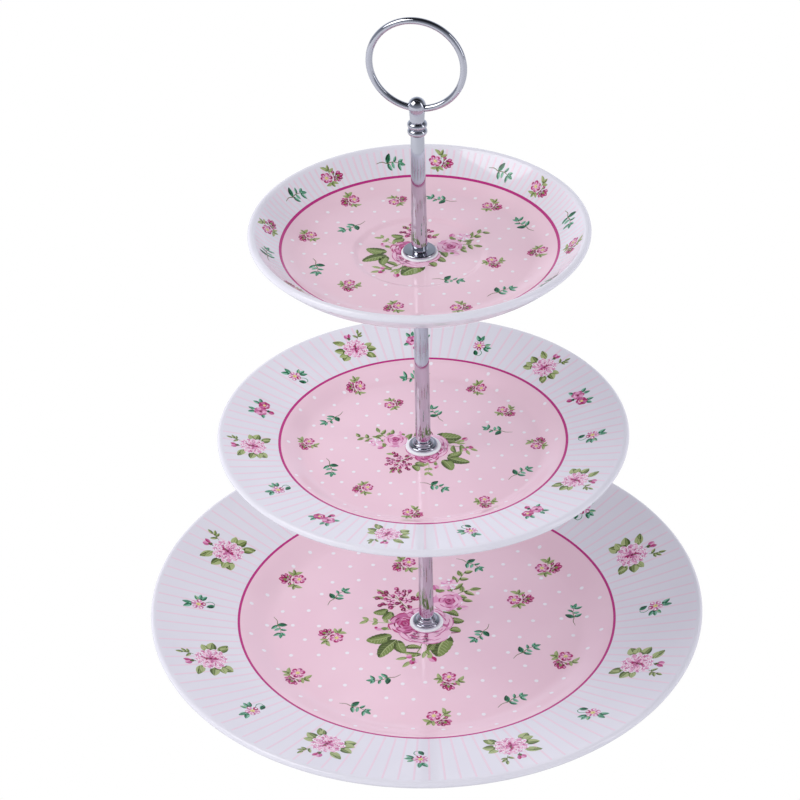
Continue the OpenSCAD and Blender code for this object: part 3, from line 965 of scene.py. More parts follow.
def blossom(flat=1.0):
    """Open magenta blossom on the right, a fan of buds on the left and leaflets; flat squeezes it."""
    motif = Transfer()
    c = (3.3, 0.6)
    for k in range(6):
        a = 60 * k + 8
        motif.ray(c, a, 0.7, 4.0, 2.9, ("magenta", "rose") if k % 2 else ("rose", "pink"),
                  belly=0.68, full=0.55, layer=3, steps=6)
        motif.crescent(c, 3.3, a - 22, a + 14, 0.7, "magenta" if k % 3 else "burgundy", layer=4, steps=5)
        motif.ray(c, a, 1.0, 2.8, 0.9, "blush", belly=0.6, layer=5, steps=4)
    motif.spot(c, 1.1, "yellow", layer=6)
    motif.spot((c[0] - 0.4, c[1] - 0.3), 0.42, "olive_light", layer=7, sides=6)
    root = (-1.4, 0.2)
    # buds: (angle, length, width)
    fan = ((128, 5.0, 2.1), (160, 5.6, 2.5), (190, 6.4, 2.8), (218, 6.0, 2.5), (262, 4.6, 1.9),
           (92, 3.8, 1.6))
    for k, (a, length, width) in enumerate(fan):
        x = root[0] + length * math.cos(math.radians(a))
        y = root[1] + length * math.sin(math.radians(a))
        motif.stem([root, ((root[0] + x) / 2, (root[1] + y) / 2 + 0.3), (x, y)], 0.4, "burgundy",
                   layer=1, steps=3)
        tones = (("magenta", "rose"), ("burgundy", "magenta"), ("magenta", "magenta"))[k % 3]
        bud(motif, between(root, (x, y), 0.4), (x, y), width, tones, "burgundy" if k % 2 else "olive",
            layer=2)
        motif.stem([between(root, (x, y), 0.66), between(root, (x, y), 0.92)], 0.5, "pink", layer=4,
                   steps=3)
    for side in (1, -1):
        base = (0.6, 3.4 * side)
        motif.stem([(0.2, 1.6 * side), base, (1.2, 5.0 * side)], 0.35, "olive", steps=3)
        leaf(motif, base, (-2.8, 6.0 * side), 2.0, PALE, layer=1)
        leaf(motif, (1.0, 4.2 * side), (0.2, 8.4 * side), 2.0, OLIVE, layer=1)
        leaf(motif, (1.2, 4.2 * side), (5.2, 6.8 * side), 2.2, PALE, layer=1, bend=0.12 * side)
    motif.points = [(x, y * flat) for x, y in motif.points]
    return motif


def twig():
    """Curved stem with a near-black leaf at its fork and emerald leaves beyond; it grows along +x."""
    motif = Transfer()
    motif.stem([(-7.6, -1.4), (-4.6, -0.2), (-1.6, -0.4), (1.6, 0.5), (5.0, 0.2)], 0.4, "stem", layer=0)
    leaf(motif, (-1.8, -0.3), (-0.3, 4.0), 2.7, NIGHT, layer=1)
    leaf(motif, (-1.4, -0.5), (1.2, -3.8), 2.0, JADE, layer=1)
    leaf(motif, (1.2, 0.4), (2.4, -2.6), 1.6, ("jade_light", "jade_light", "jade"), layer=1)
    leaf(motif, (2.2, 0.5), (3.4, 3.2), 1.5, JADE, layer=1)
    leaf(motif, (4.6, 0.3), (7.2, 2.0), 1.7, JADE, layer=1)
    leaf(motif, (4.8, 0.2), (8.6, -0.6), 1.8, JADE_DEEP, layer=2)
    leaf(motif, (4.6, 0.0), (6.2, -3.6), 1.7, JADE, layer=1)
    return motif


def veined_leaf(motif, root, tip, width, tones, bend):
    """A broad ruffled leaf with a pale midrib and side veins."""
    leaf(motif, root, tip, width, tones, bend=bend, full=0.6, ruffle=0.05, rib="olive_light")
    ax, ay = root
    dx, dy = tip[0] - ax, tip[1] - ay
    length = math.hypot(dx, dy)
    for t in (0.18, 0.3, 0.42, 0.54, 0.66, 0.78):
        bow = bend * math.sin(math.pi * t)
        mx, my = ax + dx * t - dy * bow, ay + dy * t + dx * bow
        for side in (1, -1):
            reach = width * 0.37 * math.sin(math.pi * t) ** 0.7
            nx, ny = -dy / length * side * reach, dx / length * side * reach
            motif.stem([(mx, my), (mx + dx * 0.06 + nx * 0.6, my + dy * 0.06 + ny * 0.6),
                        (mx + dx * 0.13 + nx, my + dy * 0.13 + ny)], 0.3,
                       "olive_light" if side > 0 else "olive", layer=2, steps=2)


def light_sprigs(motif):
    """Pale sprigs with pink buds, to the left of the roses and towards the front."""
    motif.stem([(-16, 0.6), (-22, 0.4), (-29.6, 2.4)], 0.4, "olive_light")
    for root, tip in (((-29.0, 2.2), (-33.4, 0.0)), ((-28.6, 2.6), (-31.8, 5.0)),
                      ((-24.6, 1.0), (-26.2, 4.4)), ((-24.2, 0.8), (-27.0, -1.0)),
                      ((-19.0, 0.6), (-21.6, 3.4)), ((-17.4, -3.6), (-20.8, -4.8)),
                      ((-0.6, -21.0), (2.8, -27.4)), ((-0.8, -22.0), (-2.2, -27.6))):
        leaf(motif, root, tip, 2.2, PALE, layer=1)
    bud(motif, (-20.2, -4.4), (-26.0, -3.2), 4.0, ("blush", "pink"), "olive", layer=2)
    motif.spot((-25.0, -3.4), 0.8, "magenta", layer=4, sides=8)
    motif.stem([(-2.0, -15.0), (-4.0, -21.0), (-7.4, -27.4)], 0.45, "olive", layer=2)
    motif.stem([(-1.0, -15.0), (0.6, -21.0), (1.0, -27.0)], 0.45, "olive", layer=2)
    bud(motif, (-6.2, -25.4), (-10.4, -26.4), 3.0, ("pink", "rose"), "olive", layer=3)
    bud(motif, (-6.6, -27.6), (-7.8, -32.0), 3.0, ("rose", "magenta"), "olive", layer=3)
    motif.blade((-6.4, -27.4), (-5.0, -31.2), 2.6, ("pink", "blush"), layer=3, steps=6)
    bud(motif, (0.6, -25.8), (4.2, -30.2), 3.8, ("pink", "magenta"), "olive_light", layer=3)
    leaf(motif, (-9.6, -26.8), (-15.4, -28.0), 2.2, PALE, layer=1)
    leaf(motif, (-8.0, -29.6), (-12.2, -34.0), 2.4, PALE, layer=1)


def back_spray(motif):
    """Olive leaflets at the back right, with a pale bloom and two buds."""
    motif.stem([(12.0, 22.0), (14.4, 28.0), (17.0, 34.0), (20.0, 40.0)], 0.42, "olive")
    motif.stem([(13.0, 20.0), (18.0, 23.6), (23.4, 25.8)], 0.42, "olive")
    spray = (((15.6, 31.0), (13.8, 36.8)), ((16.6, 34.0), (21.8, 34.2)), ((18.0, 36.4), (16.4, 41.2)),
             ((19.4, 39.0), (24.0, 40.6)), ((18.0, 23.6), (18.4, 28.4)), ((19.0, 24.2), (24.4, 20.8)),
             ((22.0, 25.4), (27.8, 26.2)), ((14.0, 25.6), (18.8, 30.8)), ((12.8, 24.0), (10.4, 28.4)),
             ((17.6, 17.6), (23.4, 16.0)), ((9.4, 25.0), (5.2, 24.4)), ((16.0, 20.6), (20.6, 19.0)))
    for k, (root, tip) in enumerate(spray):
        leaf(motif, root, tip, 2.8, OLIVE if k % 2 else OLIVE_DEEP, layer=1)
    for k in range(7):
        motif.ray((11.7, 30.0), 51 * k, 0.4, 4.6, 3.2, ("blush", "pink") if k % 2 else ("white", "blush"),
                  belly=0.68, full=0.55, layer=2 + k % 2, steps=7)
    motif.crescent((11.7, 30.6), 1.8, 20, 160, 0.6, "rose", layer=5)
    motif.crescent((11.7, 30.0), 2.6, 200, 330, 0.45, "pink", layer=5)
    bud(motif, (6.2, 24.4), (4.0, 29.8), 3.6, ("pink", "rose"), "olive", layer=3)
    bud(motif, (15.6, 10.2), (21.0, 11.6), 3.6, ("blush", "pink"), "olive", layer=2)


def bud_cluster(motif, draw):
    """Burgundy buds in a spiral, each on its stalk, with three small open flowers among them."""
    motif.stem([(-8.0, 10.0), (-11.6, 14.6), (-15.2, 21.6)], 0.5, "olive", layer=1)
    for k in range(24):
        a = 137.5 * k + draw.uniform(-14, 14)
        r = 1.6 + 1.78 * math.sqrt(k)
        x = -14.2 + r * math.cos(math.radians(a)) * 1.15
        y = 19.0 + r * math.sin(math.radians(a)) * 0.86
        bx, by = -11.6 + (x + 11.6) * 0.6, 15.0 + (y - 15.0) * 0.6
        motif.stem([(bx, by), (x, y)], 0.36, "olive" if k % 2 else "burgundy", layer=1, steps=3)
        lean = math.atan2(y - by, x - bx) + draw.uniform(-0.5, 0.5)
        dx, dy = math.cos(lean), math.sin(lean)
        tones = (("burgundy", "magenta"), ("magenta", "rose"), ("burgundy", "burgundy"))[k % 3]
        bud(motif, (x - dx * 1.4, y - dy * 1.4), (x + dx * 1.5, y + dy * 1.5), draw.uniform(2.3, 2.9),
            tones, "burgundy", layer=2)
        motif.stem([(x - dx * 0.2, y - dy * 0.2), (x + dx * 1.2, y + dy * 1.2)], 0.5,
                   "pink" if k % 2 else "rose", layer=4, steps=3)
    for centre in ((-13.0, 23.2), (-9.6, 17.4), (-17.6, 17.0)):
        for k in range(5):
            motif.ray(centre, 72 * k + 20, 0.3, 2.3, 1.7, ("blush", "rose"), belly=0.66, full=0.6,
                      layer=5, steps=5)
        motif.spot(centre, 0.6, "burgundy", layer=6, sides=8)
    for root, tip in (((-20.0, 22.0), (-24.8, 27.0)), ((-21.0, 20.0), (-27.0, 20.6)),
                      ((-4.4, 20.0), (-2.8, 25.4))):
        leaf(motif, root, tip, 2.4, PALE, layer=1)


def big_rose(motif, draw):
    """The large rose round the middle: wide outer petals, then rings of petals round its heart."""
    petals = (((-9.0, -11.6), 9.4), ((-4.0, -12.4), 9.2), ((3.2, -11.8), 10.4), ((10.6, 0.2), 7.8),
              ((-10.6, 6.6), 7.6), ((-2.6, 8.8), 7.2), ((5.4, 7.4), 6.6), ((6.8, -6.6), 6.2))
    for centre, r in petals:
        out = math.degrees(math.atan2(centre[1], centre[0]))
        near = (centre[0] * 0.42, centre[1] * 0.42)
        for swing, shade in ((-30, "pink"), (30, "blush"), (0, "blush")):
            def petal_inks(u, v, shade=shade):
                if u > 0.9 and v > 0.5:
                    return "white"
                return "rose" if u < 0.3 or (v < -0.5 and u < 0.6) else shade
            motif.ray(near, out + swing, 0.4, r * 1.16, r * 1.12, petal_inks, belly=0.68, full=0.5,
                      layer=8 if swing else 9, ruffle=0.03, waves=2, steps=11)
        motif.crescent(near, r * 1.12, out - 30, out + 34, 0.55, "rose", layer=10)
        motif.crescent(near, r * 0.84, out - 40, out - 2, 0.9, "rose", layer=10)
        motif.crescent(near, r * 0.66, out + 4, out + 42, 0.7, "magenta" if centre[0] < 0 else "rose",
                       layer=10)
        motif.crescent(near, r * 0.97, out + 8, out + 30, 0.5, "blush", layer=10)
        motif.crescent(near, r * 0.9, out - 8, out + 22, 0.4, "rose", layer=11)
    heart = (-10.6, -0.8)
    # rings of petals: (count, reach, width, layer, inks)
    for count, reach, width, layer, mix in ((8, 8.4, 5.6, 11, ("pink", "blush", "pink", "rose")),
                                            (7, 6.2, 4.8, 14, ("blush", "pink", "rose", "pink")),
                                            (6, 4.2, 3.6, 17, ("pink", "rose", "blush", "magenta"))):
        for k in range(count):
            a = 360 / count * k + 13 * layer + draw.uniform(-10, 10)
            off = (heart[0] + draw.uniform(-0.5, 0.5), heart[1] + draw.uniform(-0.5, 0.5))

            def heart_inks(u, v, tone=mix[k % 4]):
                if u < 0.42:
                    return "magenta"
                return "rose" if u < 0.56 or v < -0.5 else tone
            r1 = reach * draw.uniform(0.88, 1.05)
            motif.ray(off, a, 0.5, r1, width, heart_inks, belly=0.7, full=0.5, layer=layer + k % 2,
                      steps=9, ruffle=0.04, waves=2)
            motif.crescent(off, r1 * 0.92, a - 22, a + 18, 0.75, "magenta" if k % 3 else "burgundy",
                           layer=layer + 2)
    rose_heart(motif, heart, 3.4, 20, draw)


def bouquet():
    """The centre spray: a big rose, a second rose, dark buds, broad leaves and light sprigs."""
    motif = Transfer()
    draw = random.Random(12)
    broad = (((-17.2, -9.8), (-29.8, -13.4), 7.6, BROAD, 0.06),
             ((-14.8, -13.0), (-23.6, -26.4), 7.4, BROAD_DEEP, -0.06),
             ((-14.4, -13.6), (-10.8, -23.6), 6.0, BROAD, -0.08),
             ((10.4, -10.4), (5.0, -26.6), 11.2, BROAD_DEEP, -0.08),
             ((4.6, -15.4), (0.2, -21.6), 4.6, BROAD_DEEP, 0.0),
             ((-10.8, -19.0), (-2.6, -19.6), 3.4, BROAD_DEEP, 0.1),
             ((-3.0, -24.6), (-11.2, -22.6), 3.4, OLIVE, 0.1),
             ((-19.0, 10.4), (-26.4, 8.2), 4.8, BROAD, 0.1),
             ((-17.0, 8.6), (-21.8, 3.2), 5.4, BROAD, 0.1),
             ((8.2, 8.2), (16.0, 4.6), 4.4, BROAD_DEEP, 0.16),
             ((12.0, 2.6), (18.6, 0.2), 4.6, BROAD_DEEP, -0.1),
             ((11.2, -5.6), (16.8, -7.4), 4.2, BROAD, 0.12))
    for root, tip, width, tones, bend in broad:
        veined_leaf(motif, root, tip, width, tones, bend)
    motif.stem([(8.0, -6.0), (12.0, -8.4), (16.4, -8.0)], 0.6, "burgundy", layer=2)
    light_sprigs(motif)
    back_spray(motif)
    bud_cluster(motif, draw)
    open_rose(motif, (10.6, 16.6), 8.0, draw, heart=(11.4, 16.4), layer=4)
    big_rose(motif, draw)
    return motif


def dot():
    """One white dot of the well's pattern."""
    motif = Transfer()
    motif.spot((0, 0), 1.02, "white", sides=14)
    return motif


def pinstripe(plate):
    """One stripe along +x, from the coloured line to the lip."""
    motif = Transfer()
    start = plate.line_r + LINE_HALF + 0.1
    stop = plate.rim_end - 0.5
    steps = 26
    rows = []
    for i in range(steps + 1):
        r = start + (stop - start) * i / steps
        half = 0.48 if i else 0.2
        rows.append([(r, -half), (r, half)])
    motif.shell(rows, lambda u, v: "stripe", -2)
    return motif


def dots_clear_of(plate, spacing, size, taken):
    """A jittered staggered pattern of dots over the well, kept clear of the flowers."""
    draw = random.Random(5)
    out = []
    reach = plate.line_r - 2.6
    rows = int(reach / (spacing * 0.8)) + 2
    for j in range(-rows, rows + 1):
        for i in range(-rows - 4, rows + 5):
            x = (i + 0.5 * (j % 2)) * spacing + draw.uniform(-0.1, 0.1) * spacing
            y = j * spacing * 0.87 + draw.uniform(-0.1, 0.1) * spacing
            if not DOTS_FROM_R < math.hypot(x, y) < reach:
                continue
            if np.min(np.hypot(taken[:, 0] - x, taken[:, 1] - y)) < DOT_CLEARANCE:
                continue
            out.append((x, y, 0.0, size))
    return out


# Where the flowers go: (radius mm, angle from +x, turn of the motif from +x)
WELL = {
    "bottom": {
        "blossoms": ((76, 152, 0), (48, 191, -40), (75, 212, 62), (46, 283, 80), (72, 274, 130),
                     (73, 335, 60), (50, 20, 180), (75, 34, 170), (48, 103, 30), (75, 93, 200)),
        "twigs": ((50, 154, 48), (73, 181, -80), (47, 244, 190), (71.5, 241, -32), (71.5, 303.5, 28),
                  (53, 334, 34), (28.6, 341, 232), (73, 3, 82), (52, 64, -42)),
    },
    "middle": {
        "blossoms": ((59, 123, 20), (39, 111, 200), (55, 176, 60), (43, 229, 10), (52.5, 264, 150),
                     (53, 302, 90), (54, 1, 240), (49, 35, 130), (54.6, 61, 0)),
        "twigs": ((49.5, 150, 222), (46, 199, -84), (31.6, 279, -30), (49.6, 333, 36), (37.4, 19, 158),
                  (27.8, 77, 108), (58, 93, 184)),
    },
    "top": {
        "blossoms": ((55, 125, 30), (47, 102, 210), (52.5, 164, 40), (42, 222, 80), (48, 256, 20),
                     (51, 290, 170), (34.6, 342, 100), (53, 357, 10), (51.4, 49, 150)),
        "twigs": ((37.7, 143, 212), (47.4, 194, -86), (26.6, 298, -20), (49.7, 315, 24), (52, 24, 118),
                  (47, 77, 156)),
    },
}
MOTIF_SIZE = {"bottom": 0.93, "middle": 0.69, "top": 0.67}
TWIG_SIZE = {"bottom": 1.06, "middle": 0.94, "top": 0.94}
BOUQUET_TURN = {"bottom": 0.0, "middle": 100.0, "top": -35.0}
BOUQUET_SIZE = {"bottom": 1.0, "middle": 0.72, "top": 0.75}
STRIPE_COUNT = {"bottom": 116, "middle": 100, "top": 132}
DOT_SPACING = {"bottom": 13.2, "middle": 10.6, "top": 10.4}
DOT_SIZE = {"bottom": 1.0, "middle": 0.85, "top": 0.82}
# Dots keep this far from the post's axis and from the flowers, in mm
DOTS_FROM_R = 10.5
DOT_CLEARANCE = 1.9
# The bouquet is left open under the gasket, in mm
BOUQUET_CLEAR_R = 7.7

BLOSSOM = blossom()
RIM_BLOSSOM = blossom(0.66)
TWIG = twig()
BOUQUET = bouquet()
DOT = dot()
RIM_ROSE = rim_rose()
RIM_SPRIG = rim_sprig()
RIM_PAIR = rim_pair()


# Rings of motifs on the rims: (name, motif, radius mm, first angle, step, count, size, turn)
RIM = {
    "bottom": (("rim_roses", RIM_ROSE, 110.5, 20, 45, 8, 1.0, -90.0),
               ("rim_sprigs", RIM_SPRIG, 112.5, 178, 45, 8, 1.0, -90.0)),
    "middle": (("rim_roses", RIM_ROSE, 80, 42, 72, 5, 0.78, -90.0),
               ("rim_sprigs", RIM_SPRIG, 79.5, 69, 72, 5, 0.86, -90.0),
               ("rim_pairs", RIM_PAIR, 79.5, 91.5, 72, 5, 0.84, -90.0)),
    "top": (("rim_blossoms", RIM_BLOSSOM, 68.6, 36, 45, 8, 0.8, 80.0),
            ("rim_twigs", TWIG, 68.8, 56, 45, 8, 0.84, -100.0)),
}


def rim_places(r, start, step, count, size, turn):
    """Places round the rim, each turned by the same amount from the way out."""
    angles = [start + step * k for k in range(count)]
    return [polar(r, a, a + turn) + (size,) for a in angles]


for plate_name, plate in PLATES.items():
    groups = []
    for label, motif, size in (("blossoms", BLOSSOM, MOTIF_SIZE[plate_name]),
                               ("twigs", TWIG, TWIG_SIZE[plate_name])):
        spots = [polar(r, a, turn) + (size,) for r, a, turn in WELL[plate_name][label]]
        groups.append(("well_" + label, motif, spots, 0.0))
    size = BOUQUET_SIZE[plate_name]
    groups.append(("bouquet", BOUQUET, [(0.0, 0.0, BOUQUET_TURN[plate_name], size)],
                   BOUQUET_CLEAR_R / size))
    taken = np.concatenate([footprint(motif, spots) for _, motif, spots, _ in groups])
    for label, motif, *ring in RIM[plate_name]:
        groups.append((label, motif, rim_places(*ring), 0.0))
    dots = dots_clear_of(plate, DOT_SPACING[plate_name], DOT_SIZE[plate_name], taken)
    groups.append(("dots", DOT, dots, 0.0))
    count = STRIPE_COUNT[plate_name]
    turns = [(0.0, 0.0, 360 / count * k, 1.0) for k in range(count)]
    groups.append(("pinstripes", pinstripe(plate), turns, 0.0))
    for label, motif, spots, clear_r in groups:
        place(plate_name + "_" + label, plate_name, motif, spots, clear_r)


# ---------------------------------------------------------------- posts, feet and finial

THREAD_R = 2.0
THREAD_DEPTH = 0.3
THREAD_PITCH = 0.7
TAPPED_R = 2.05
POST_BASE_R = 3.65
POST_EDGE = 0.3
# The cone that a drill leaves at the end of a tapped hole
DRILL_CONE = 1.0


def add_to(made, other):
    """Joins another piece's mesh into made and removes the other."""
    shape = bmesh.new()
    shape.from_mesh(made.data)
    shape.from_mesh(other.data)
    shape.to_mesh(made.data)
    shape.free()
    bpy.data.objects.remove(other)


def thread(name, bottom, length):
    """The helical ridge of a thread whose crests lie on the shank's CAD radius."""
    seed_mesh = bpy.data.meshes.new(name + "_line")
    made = run_tree(name, seed_mesh, THREAD, {
        "Radius": (THREAD_R - 0.26) * MM, "Ridge": 0.24 * MM, "Pitch": THREAD_PITCH * MM,
        "Length": length * MM, "Bottom": bottom * MM, "Material": ZINC})
    return finish_mesh(made)


def post(node, body, top_r, tap_low, tap_high):
    """A solid, slightly tapered post with rounded ends and a tapped hole in each end."""
    z0, z1 = low(node), high(node)
    corner_r = POST_BASE_R - POST_EDGE
    outline = [(TAPPED_R, z0), (corner_r, z0)] + arc(corner_r, z0 + POST_EDGE, POST_EDGE, -90, 0, 5)[1:]
    for t in [i / 12 for i in range(1, 12)]:
        outline.append((POST_BASE_R + (top_r - POST_BASE_R) * t, z0 + (z1 - z0) * t))
    outline += arc(top_r - POST_EDGE, z1 - POST_EDGE, POST_EDGE, 0, 90, 5)
    outline += [(TAPPED_R, z1), (TAPPED_R, z1 - tap_high), (0.0, z1 - tap_high - DRILL_CONE),
                (0.0, z0 + tap_low + DRILL_CONE), (TAPPED_R, z0 + tap_low), (TAPPED_R, z0)]
    return keep(lathe(node + "_tube", plain(outline), [CHROME]), body, "chrome", node)


post("lower_post", "lower_rod", 3.1, 12.5, 12.5)
post("middle_post", "middle_rod", 3.1, 11.0, 12.5)
post("upper_post", "handle_rod", 3.0, 11.0, 11.0)

for node, body in (("lower_foot", "lower_rod"), ("middle_foot", "middle_rod")):
    outline = [(TAPPED_R, 0.0), (6.8, 0.0)] + arc(5.9, 0.5, 0.9, 0, 90, 9)
    outline += [(5.3, 1.42), (5.1, 1.5)] + arc(4.0, 1.7, 0.8, 0, 90, 8)
    outline += [(3.85, 2.6), (3.75, 2.9), (TAPPED_R, 2.9)]
    made = lathe(node + "_turned", loop(plain(outline, low(node))), [CHROME])
    keep(made, body, "chrome", node)

outline = [(TAPPED_R, 0.0), (7.5, 0.0)] + arc(6.9, 0.5, 0.7, 0, 90, 9)
outline += [(3.85, 1.1), (3.5, 1.18), (3.3, 1.35), (3.25, 1.6), (3.25, 3.3), (3.1, 3.5), (TAPPED_R, 3.5)]
made = lathe("upper_foot_turned", loop(plain(outline, low("upper_foot"))), [CHROME])
keep(made, "handle_rod", "chrome", "upper_foot")

finial_z = low("finial")
outline = [(TAPPED_R, 0.0)] + arc(2.75, 1.65, 1.65, -90, 75, 14) + arc(2.75, 4.95, 1.65, -75, 75, 14)
outline += [(3.2, 6.62), (3.22, 7.4), (3.3, 9.0), (3.45, 11.0), (3.63, 12.5)]
outline += arc(0, 14, 3.95, -18, 84, 18) + [(0.0, 17.95)]
outline += [(0.0, 9.0), (TAPPED_R, 8.0), (TAPPED_R, 0.0)]
made = lathe("finial_turned", plain(outline, finial_z), [CHROME])
keep(made, "handle_rod", "chrome", "finial")

# ring handle: a plain torus of wire; the small brazed joint where its ends meet inside the dome is not
# modelled
ring_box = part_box("ring_handle")
ring_centre = Vector([(a + b) / 2 for a, b in zip(*ring_box)])
WIRE_R = 1.5 * MM
RING_R = (ring_box[1][2] - ring_box[0][2]) / 2 - WIRE_R
RING_TURN = math.radians(-13.8)
around, across = 192, 28
shape = bmesh.new()
rings = []
for i in range(around):
    a = 2 * math.pi * i / around
    out_dir = Vector((math.cos(a), 0.0, math.sin(a)))
    rings.append([shape.verts.new(out_dir * (RING_R + WIRE_R * math.cos(2 * math.pi * j / across))
                                  + Vector((0, WIRE_R * math.sin(2 * math.pi * j / across), 0)))
                  for j in range(across)])
for i in range(around):
    for j in range(across):
        n, m = (i + 1) % around, (j + 1) % across
        shape.faces.new((rings[i][j], rings[i][m], rings[n][m], rings[n][j]))
bmesh.ops.transform(shape, matrix=Matrix.Translation(ring_centre) @ Matrix.Rotation(RING_TURN, 4, "Z"),
                    verts=shape.verts)
ring_mesh = bpy.data.meshes.new("ring_handle_wire")
shape.to_mesh(ring_mesh)
shape.free()
ring_mesh.materials.append(CHROME)
made = bpy.data.objects.new("ring_handle_wire", ring_mesh)
scene.collection.objects.link(made)
keep(finish_mesh(made), "handle_rod", "chrome", "ring_handle")


# ---------------------------------------------------------------- gaskets, washers, studs and screw

GASKETS = (("bottom_under_gasket", "base", 1), ("bottom_top_gasket", "lower_seat", -1),
           ("middle_under_gasket", "middle_tier", 1), ("middle_top_gasket", "middle_seat", -1),
           ("top_under_gasket", "top_tier", 1), ("top_top_gasket", "top_seat", -1))
for node, body, up in GASKETS:
    disc = [(2.2, 0.0), (8.0, 0.0), (8.12, 0.05), (8.25, 0.18), (8.3, 0.35), (8.3, 0.65), (8.25, 0.82),
            (8.12, 0.95), (8.0, 1.0), (2.98, 1.0), (2.93, 1.05), (2.93, 2.65), (2.8, 2.8), (2.2, 2.8)]
    if up > 0:
        outline = [(r, z + low(node)) for r, z in disc]
    else:
        outline = [(r, high(node) - z) for r, z in disc]
    keep(lathe(node + "_moulded", loop(plain(outline)), [GASKET], FITTING_SEGMENTS), body, "gasket", node)

for node, body in (("base_washer", "base"), ("middle_support_washer", "lower_rod"),
                   ("top_support_washer", "middle_rod")):
    ring = eased([(2.2, 0.0), (9.0, 0.0), (9.0, 1.0), (2.2, 1.0)], 0.16)
    keep(lathe(node + "_stamped", loop(plain(ring, low(node))), [ZINC], FITTING_SEGMENTS), body, "steel",
         node)

for node, body in (("middle_stud", "middle_rod"), ("upper_stud", "handle_rod"),
                   ("finial_stud", "handle_rod")):
    z0, z1 = low(node), high(node)
    core = THREAD_R - THREAD_DEPTH
    outline = [(0.0, z0), (core - 0.2, z0), (core, z0 + 0.35), (core, z1 - 0.35), (core - 0.2, z1),
               (0.0, z1)]
    made = lathe(node + "_core", plain(outline), [ZINC], STUD_SEGMENTS)
    add_to(made, thread(node + "_thread", z0 + 0.5, z1 - z0 - 1.0))
    keep(finish_mesh(made), body, "steel", node)

# pan-head screw, with a cross recess cut into its head
z_head, z_tip = low("base_screw"), high("base_screw")
head = [(0.0, 0.0), (1.6, 0.0), (2.3, 0.04), (2.9, 0.2), (3.4, 0.5), (3.75, 0.85), (3.95, 1.2), (4.0, 1.6),
        (4.0, 2.45), (3.9, 2.6), (2.0, 2.6), (1.7, 2.7)]
outline = plain(head, z_head) + plain([(1.7, z_tip - 0.35), (1.4, z_tip), (0.0, z_tip)])
made = lathe("base_screw_turned", outline, [ZINC], FITTING_SEGMENTS)
cross = bmesh.new()
for turn in (0, 90):
    box = bmesh.ops.create_cube(cross, size=1.0)["verts"]
    bmesh.ops.scale(cross, vec=(4.6 * MM, 0.9 * MM, 2.3 * MM), verts=box)
    bmesh.ops.rotate(cross, cent=(0, 0, 0), matrix=Matrix.Rotation(math.radians(turn), 3, "Z"), verts=box)
    bmesh.ops.translate(cross, vec=(0, 0, (z_head + 0.15) * MM), verts=box)
for vert in cross.verts:
    if vert.co.z > z_head * MM:
        vert.co.x *= 0.62
        vert.co.y *= 0.62
cross_mesh = bpy.data.meshes.new("cross")
cross.to_mesh(cross_mesh)
cross.free()
cutter = bpy.data.objects.new("cross_cutter", cross_mesh)
scene.collection.objects.link(cutter)
cut = made.modifiers.new("recess", "BOOLEAN")
cut.operation = "DIFFERENCE"
cut.solver = "EXACT"
cut.use_self = True
cut.object = cutter
graph = bpy.context.evaluated_depsgraph_get()
graph.update()
recessed = bpy.data.meshes.new_from_object(made.evaluated_get(graph), depsgraph=graph)
made.modifiers.remove(cut)
made.data = recessed
bpy.data.objects.remove(cutter)
add_to(made, thread("base_screw_thread", z_head + 3.4, z_tip - z_head - 4.0))
keep(finish_mesh(made), "base", "steel", "base_screw")


# ---------------------------------------------------------------- stage, lights and camera

scene.view_settings.view_transform = "Standard"

# The paper reaches in under the foot ring and stops short of the hollow above it
OPENING_R = (PLATES["bottom"].foot_r - 8.0) * MM
FLOOR_HALF = 3.0
# Softboxes aimed at the middle of the stand: (name, place m, width m, height m, power W, colour)
SOFTBOXES = (("softbox_left", (-1.25, -0.4, 1.45), 1.2, 1.2, 15.3, (1.0, 0.995, 0.99)),
             ("softbox_right", (1.5, -0.5, 0.8), 0.35, 1.3, 3.0, (0.98, 0.985, 1.0)))
CAMERA_AT = Vector((0.0, -1.01922, 0.83769))
LOOK_AT = Vector((-0.01045, 0.0, 0.14340))
CAMERA_ROLL = math.radians(-1.4055)
LENS_MM = 119.04
SENSOR_MM = 36.0


def studio_paper():
    """Paper that the camera sees as pure white, that light meets as matt, and that is clear from below."""
    made = bpy.data.materials.new("studio_paper")
    made.use_nodes = True
    tree = made.node_tree
    tree.nodes.clear()
    end = add_node(tree, "ShaderNodeOutputMaterial")
    seen = add_node(tree, "ShaderNodeLightPath").outputs["Is Camera Ray"]
    glow = add_node(tree, "ShaderNodeEmission", {"Color": (1, 1, 1, 1), "Strength": 1.0})
    matt = add_node(tree, "ShaderNodeBsdfDiffuse", {"Color": (0.82, 0.82, 0.83, 1)})
    both = add_node(tree, "ShaderNodeMixShader", {0: seen, 1: matt.outputs[0], 2: glow.outputs[0]})
    below = add_node(tree, "ShaderNodeNewGeometry").outputs["Backfacing"]
    clear = add_node(tree, "ShaderNodeBsdfTransparent")
    one_way = add_node(tree, "ShaderNodeMixShader", {0: below, 1: both.outputs[0], 2: clear.outputs[0]})
    tree.links.new(one_way.outputs[0], end.inputs["Surface"])
    return made


